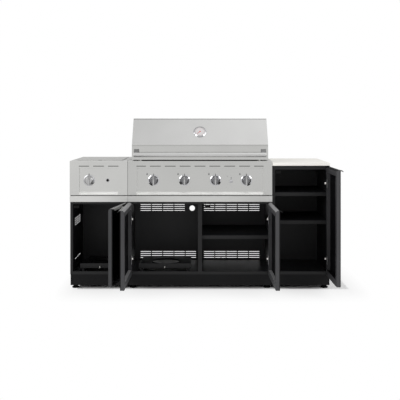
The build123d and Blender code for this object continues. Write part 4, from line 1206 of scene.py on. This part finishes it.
@dataclass
class Studio:
    """Floor, lamps, white surroundings and the camera at the photograph's place."""

    camera_back: float = 5450.0
    camera_height: float = 1184.6
    lens: float = 69.75
    sensor: float = 36.0
    # Rise of the horizon above the photograph's middle and the photograph's width, in pixels
    horizon_rise: float = 79.5
    photo_width: float = 400.0
    surround: float = 0.78
    # Footprint of the shadow, how much faster it fades each way, where it is gone close by and further out in
    # metres, and how white the floor is where the outer one starts
    shadow_low: Place = (-860.0, 14.0, 0.0)
    shadow_high: Place = (1040.0, 630.0, 0.0)
    shadow_pull: Place = (3.0, 1.0, 1.0)
    shadow_reach: Pair = (0.03, 0.45)
    shadow_white: float = 0.66
    # Half of the floor's side, in metres
    floor_half: float = 40.0
    lamps: tuple[Lamp, ...] = (
        Lamp("overhead_soft_box", (1.2, 0.4, 3.6), (0.3, 0.2, 0.0), (4.4, 3.2), 14.0),
        Lamp("left_soft_box", (-3.4, -3.6, 2.7), (0.0, 0.2, 0.7), (2.0, 2.4), 56.0),
        Lamp("right_soft_box", (3.6, -3.0, 2.9), (0.0, 0.2, 0.7), (2.0, 2.4), 60.0),
        Lamp("left_rim_box", (-3.4, -0.8, 3.4), (0.0, 0.02, 1.1), (0.8, 0.8), 6.0),
        Lamp("right_rim_box", (3.4, -0.8, 3.4), (0.0, 0.02, 1.1), (0.8, 0.8), 6.0),
    )

    def camera(self) -> None:
        """A level camera straight in front, its frame shifted down to the photograph's horizon."""
        data = bpy.data.cameras.new("photo_camera")
        data.lens, data.sensor_width = self.lens, self.sensor
        data.shift_y = -self.horizon_rise / self.photo_width
        obj = placed("photo_camera", data)
        obj.location = tuple(np.array([0, -self.camera_back, self.camera_height]) / 1000 + ORIGIN)
        obj.rotation_euler = (math.pi / 2, 0, 0)
        bpy.context.scene.camera = obj

    def seen(self, tree: Tree) -> Node:
        """A node that is 1 for what is seen directly, in a reflection or through glass."""
        path = add(tree, "LightPath")
        seen = add(tree, "Math", {0: (path, "Is Camera Ray"), 1: (path, "Is Glossy Ray")}, operation="MAXIMUM")
        return add(tree, "Math", {0: (seen, 0), 1: (path, "Is Transmission Ray")}, operation="MAXIMUM")

    def world(self) -> None:
        """White surroundings for what is seen directly or in a reflection, and softer for the light they give."""
        world = bpy.data.worlds.new("white_surround")
        world.use_nodes = True
        bpy.context.scene.world = world
        tree = world.node_tree
        tree.nodes.clear()
        level = add(tree, "MapRange", {"Value": (self.seen(tree), 0), "To Min": self.surround, "To Max": 1.0})
        sky = add(tree, "Background", {"Color": (1, 1, 1, 1), "Strength": (level, 0)})
        add(tree, "OutputWorld", {"Surface": (sky, 0)})

    def floor(self) -> None:
        """A pale floor that holds the object's shadow under and near it and fades to white further out."""
        mesh = bpy.data.meshes.new("studio_floor")
        half = self.floor_half
        mesh.from_pydata([(-half, -half, 0), (half, -half, 0), (half, half, 0), (-half, half, 0)], [], [(0, 1, 2, 3)])
        paint = bpy.data.materials.new("matt white floor paint")
        paint.use_nodes = True
        tree = paint.node_tree
        tree.nodes.clear()
        place = (add(tree, "TexCoord"), "Object")
        grit = add(tree, "TexNoise", {"Vector": place, "Scale": per_metre(400), "Detail": 2.0})
        tone = add(tree, "Mix", {0: (grit, 0), 6: linear("F6F6F6"), 7: linear("FAFAFA")}, data_type="RGBA")
        matt = add(tree, "BsdfDiffuse", {"Color": (tone, 2)})
        # Distance from the footprint: length of pull * max(|point - middle| - half, 0)
        low, high = (np.array(corner) / 1000 + ORIGIN for corner in (self.shadow_low, self.shadow_high))
        none = (0.0, 0.0, 0.0)
        steps = [("SUBTRACT", (low + high) / 2), ("ABSOLUTE", none), ("SUBTRACT", (high - low) / 2)]
        steps += [("MAXIMUM", none), ("MULTIPLY", self.shadow_pull), ("LENGTH", none)]
        away: Link = place
        for operation, operand in steps:
            away = (add(tree, "VectorMath", {0: away, 1: tuple(operand)}, operation=operation), 0)
        away = (away[0], 1)
        close, out = self.shadow_reach
        near = add(tree, "MapRange", {"Value": away, "From Max": close})
        far = add(tree, "MapRange", {"Value": away, "From Max": out, "To Min": self.shadow_white})
        faded = add(tree, "Math", {0: (near, 0), 1: (far, 0)}, operation="MULTIPLY")
        white = add(tree, "Emission", {"Color": (1, 1, 1, 1), "Strength": 1.0})
        share = add(tree, "Math", {0: (faded, 0), 1: (self.seen(tree), 0)}, operation="MULTIPLY")
        blend = add(tree, "MixShader", {0: (share, 0), 1: (matt, 0), 2: (white, 0)})
        add(tree, "OutputMaterial", {"Surface": (blend, 0)})
        mesh.materials.append(paint)
        placed("studio_floor", mesh)

    def build(self) -> None:
        """Builds the studio."""
        bpy.context.scene.view_settings.view_transform = "Standard"
        self.camera()
        self.world()
        self.floor()
        for lamp in self.lamps:
            lamp.build()


def main() -> None:
    """Builds the kitchen's sub-assemblies in order, then the studio."""
    logging.basicConfig(level=logging.INFO, format="%(name)s %(message)s")
    for assembly in (Carcass(), Doors(), Grill(), Hood(), Controls(), StoneTop(), Feet(), Trays(), Studio()):
        log.info("building %s", type(assembly).__name__)
        assembly.build()


if __name__ == "__main__":
    main()
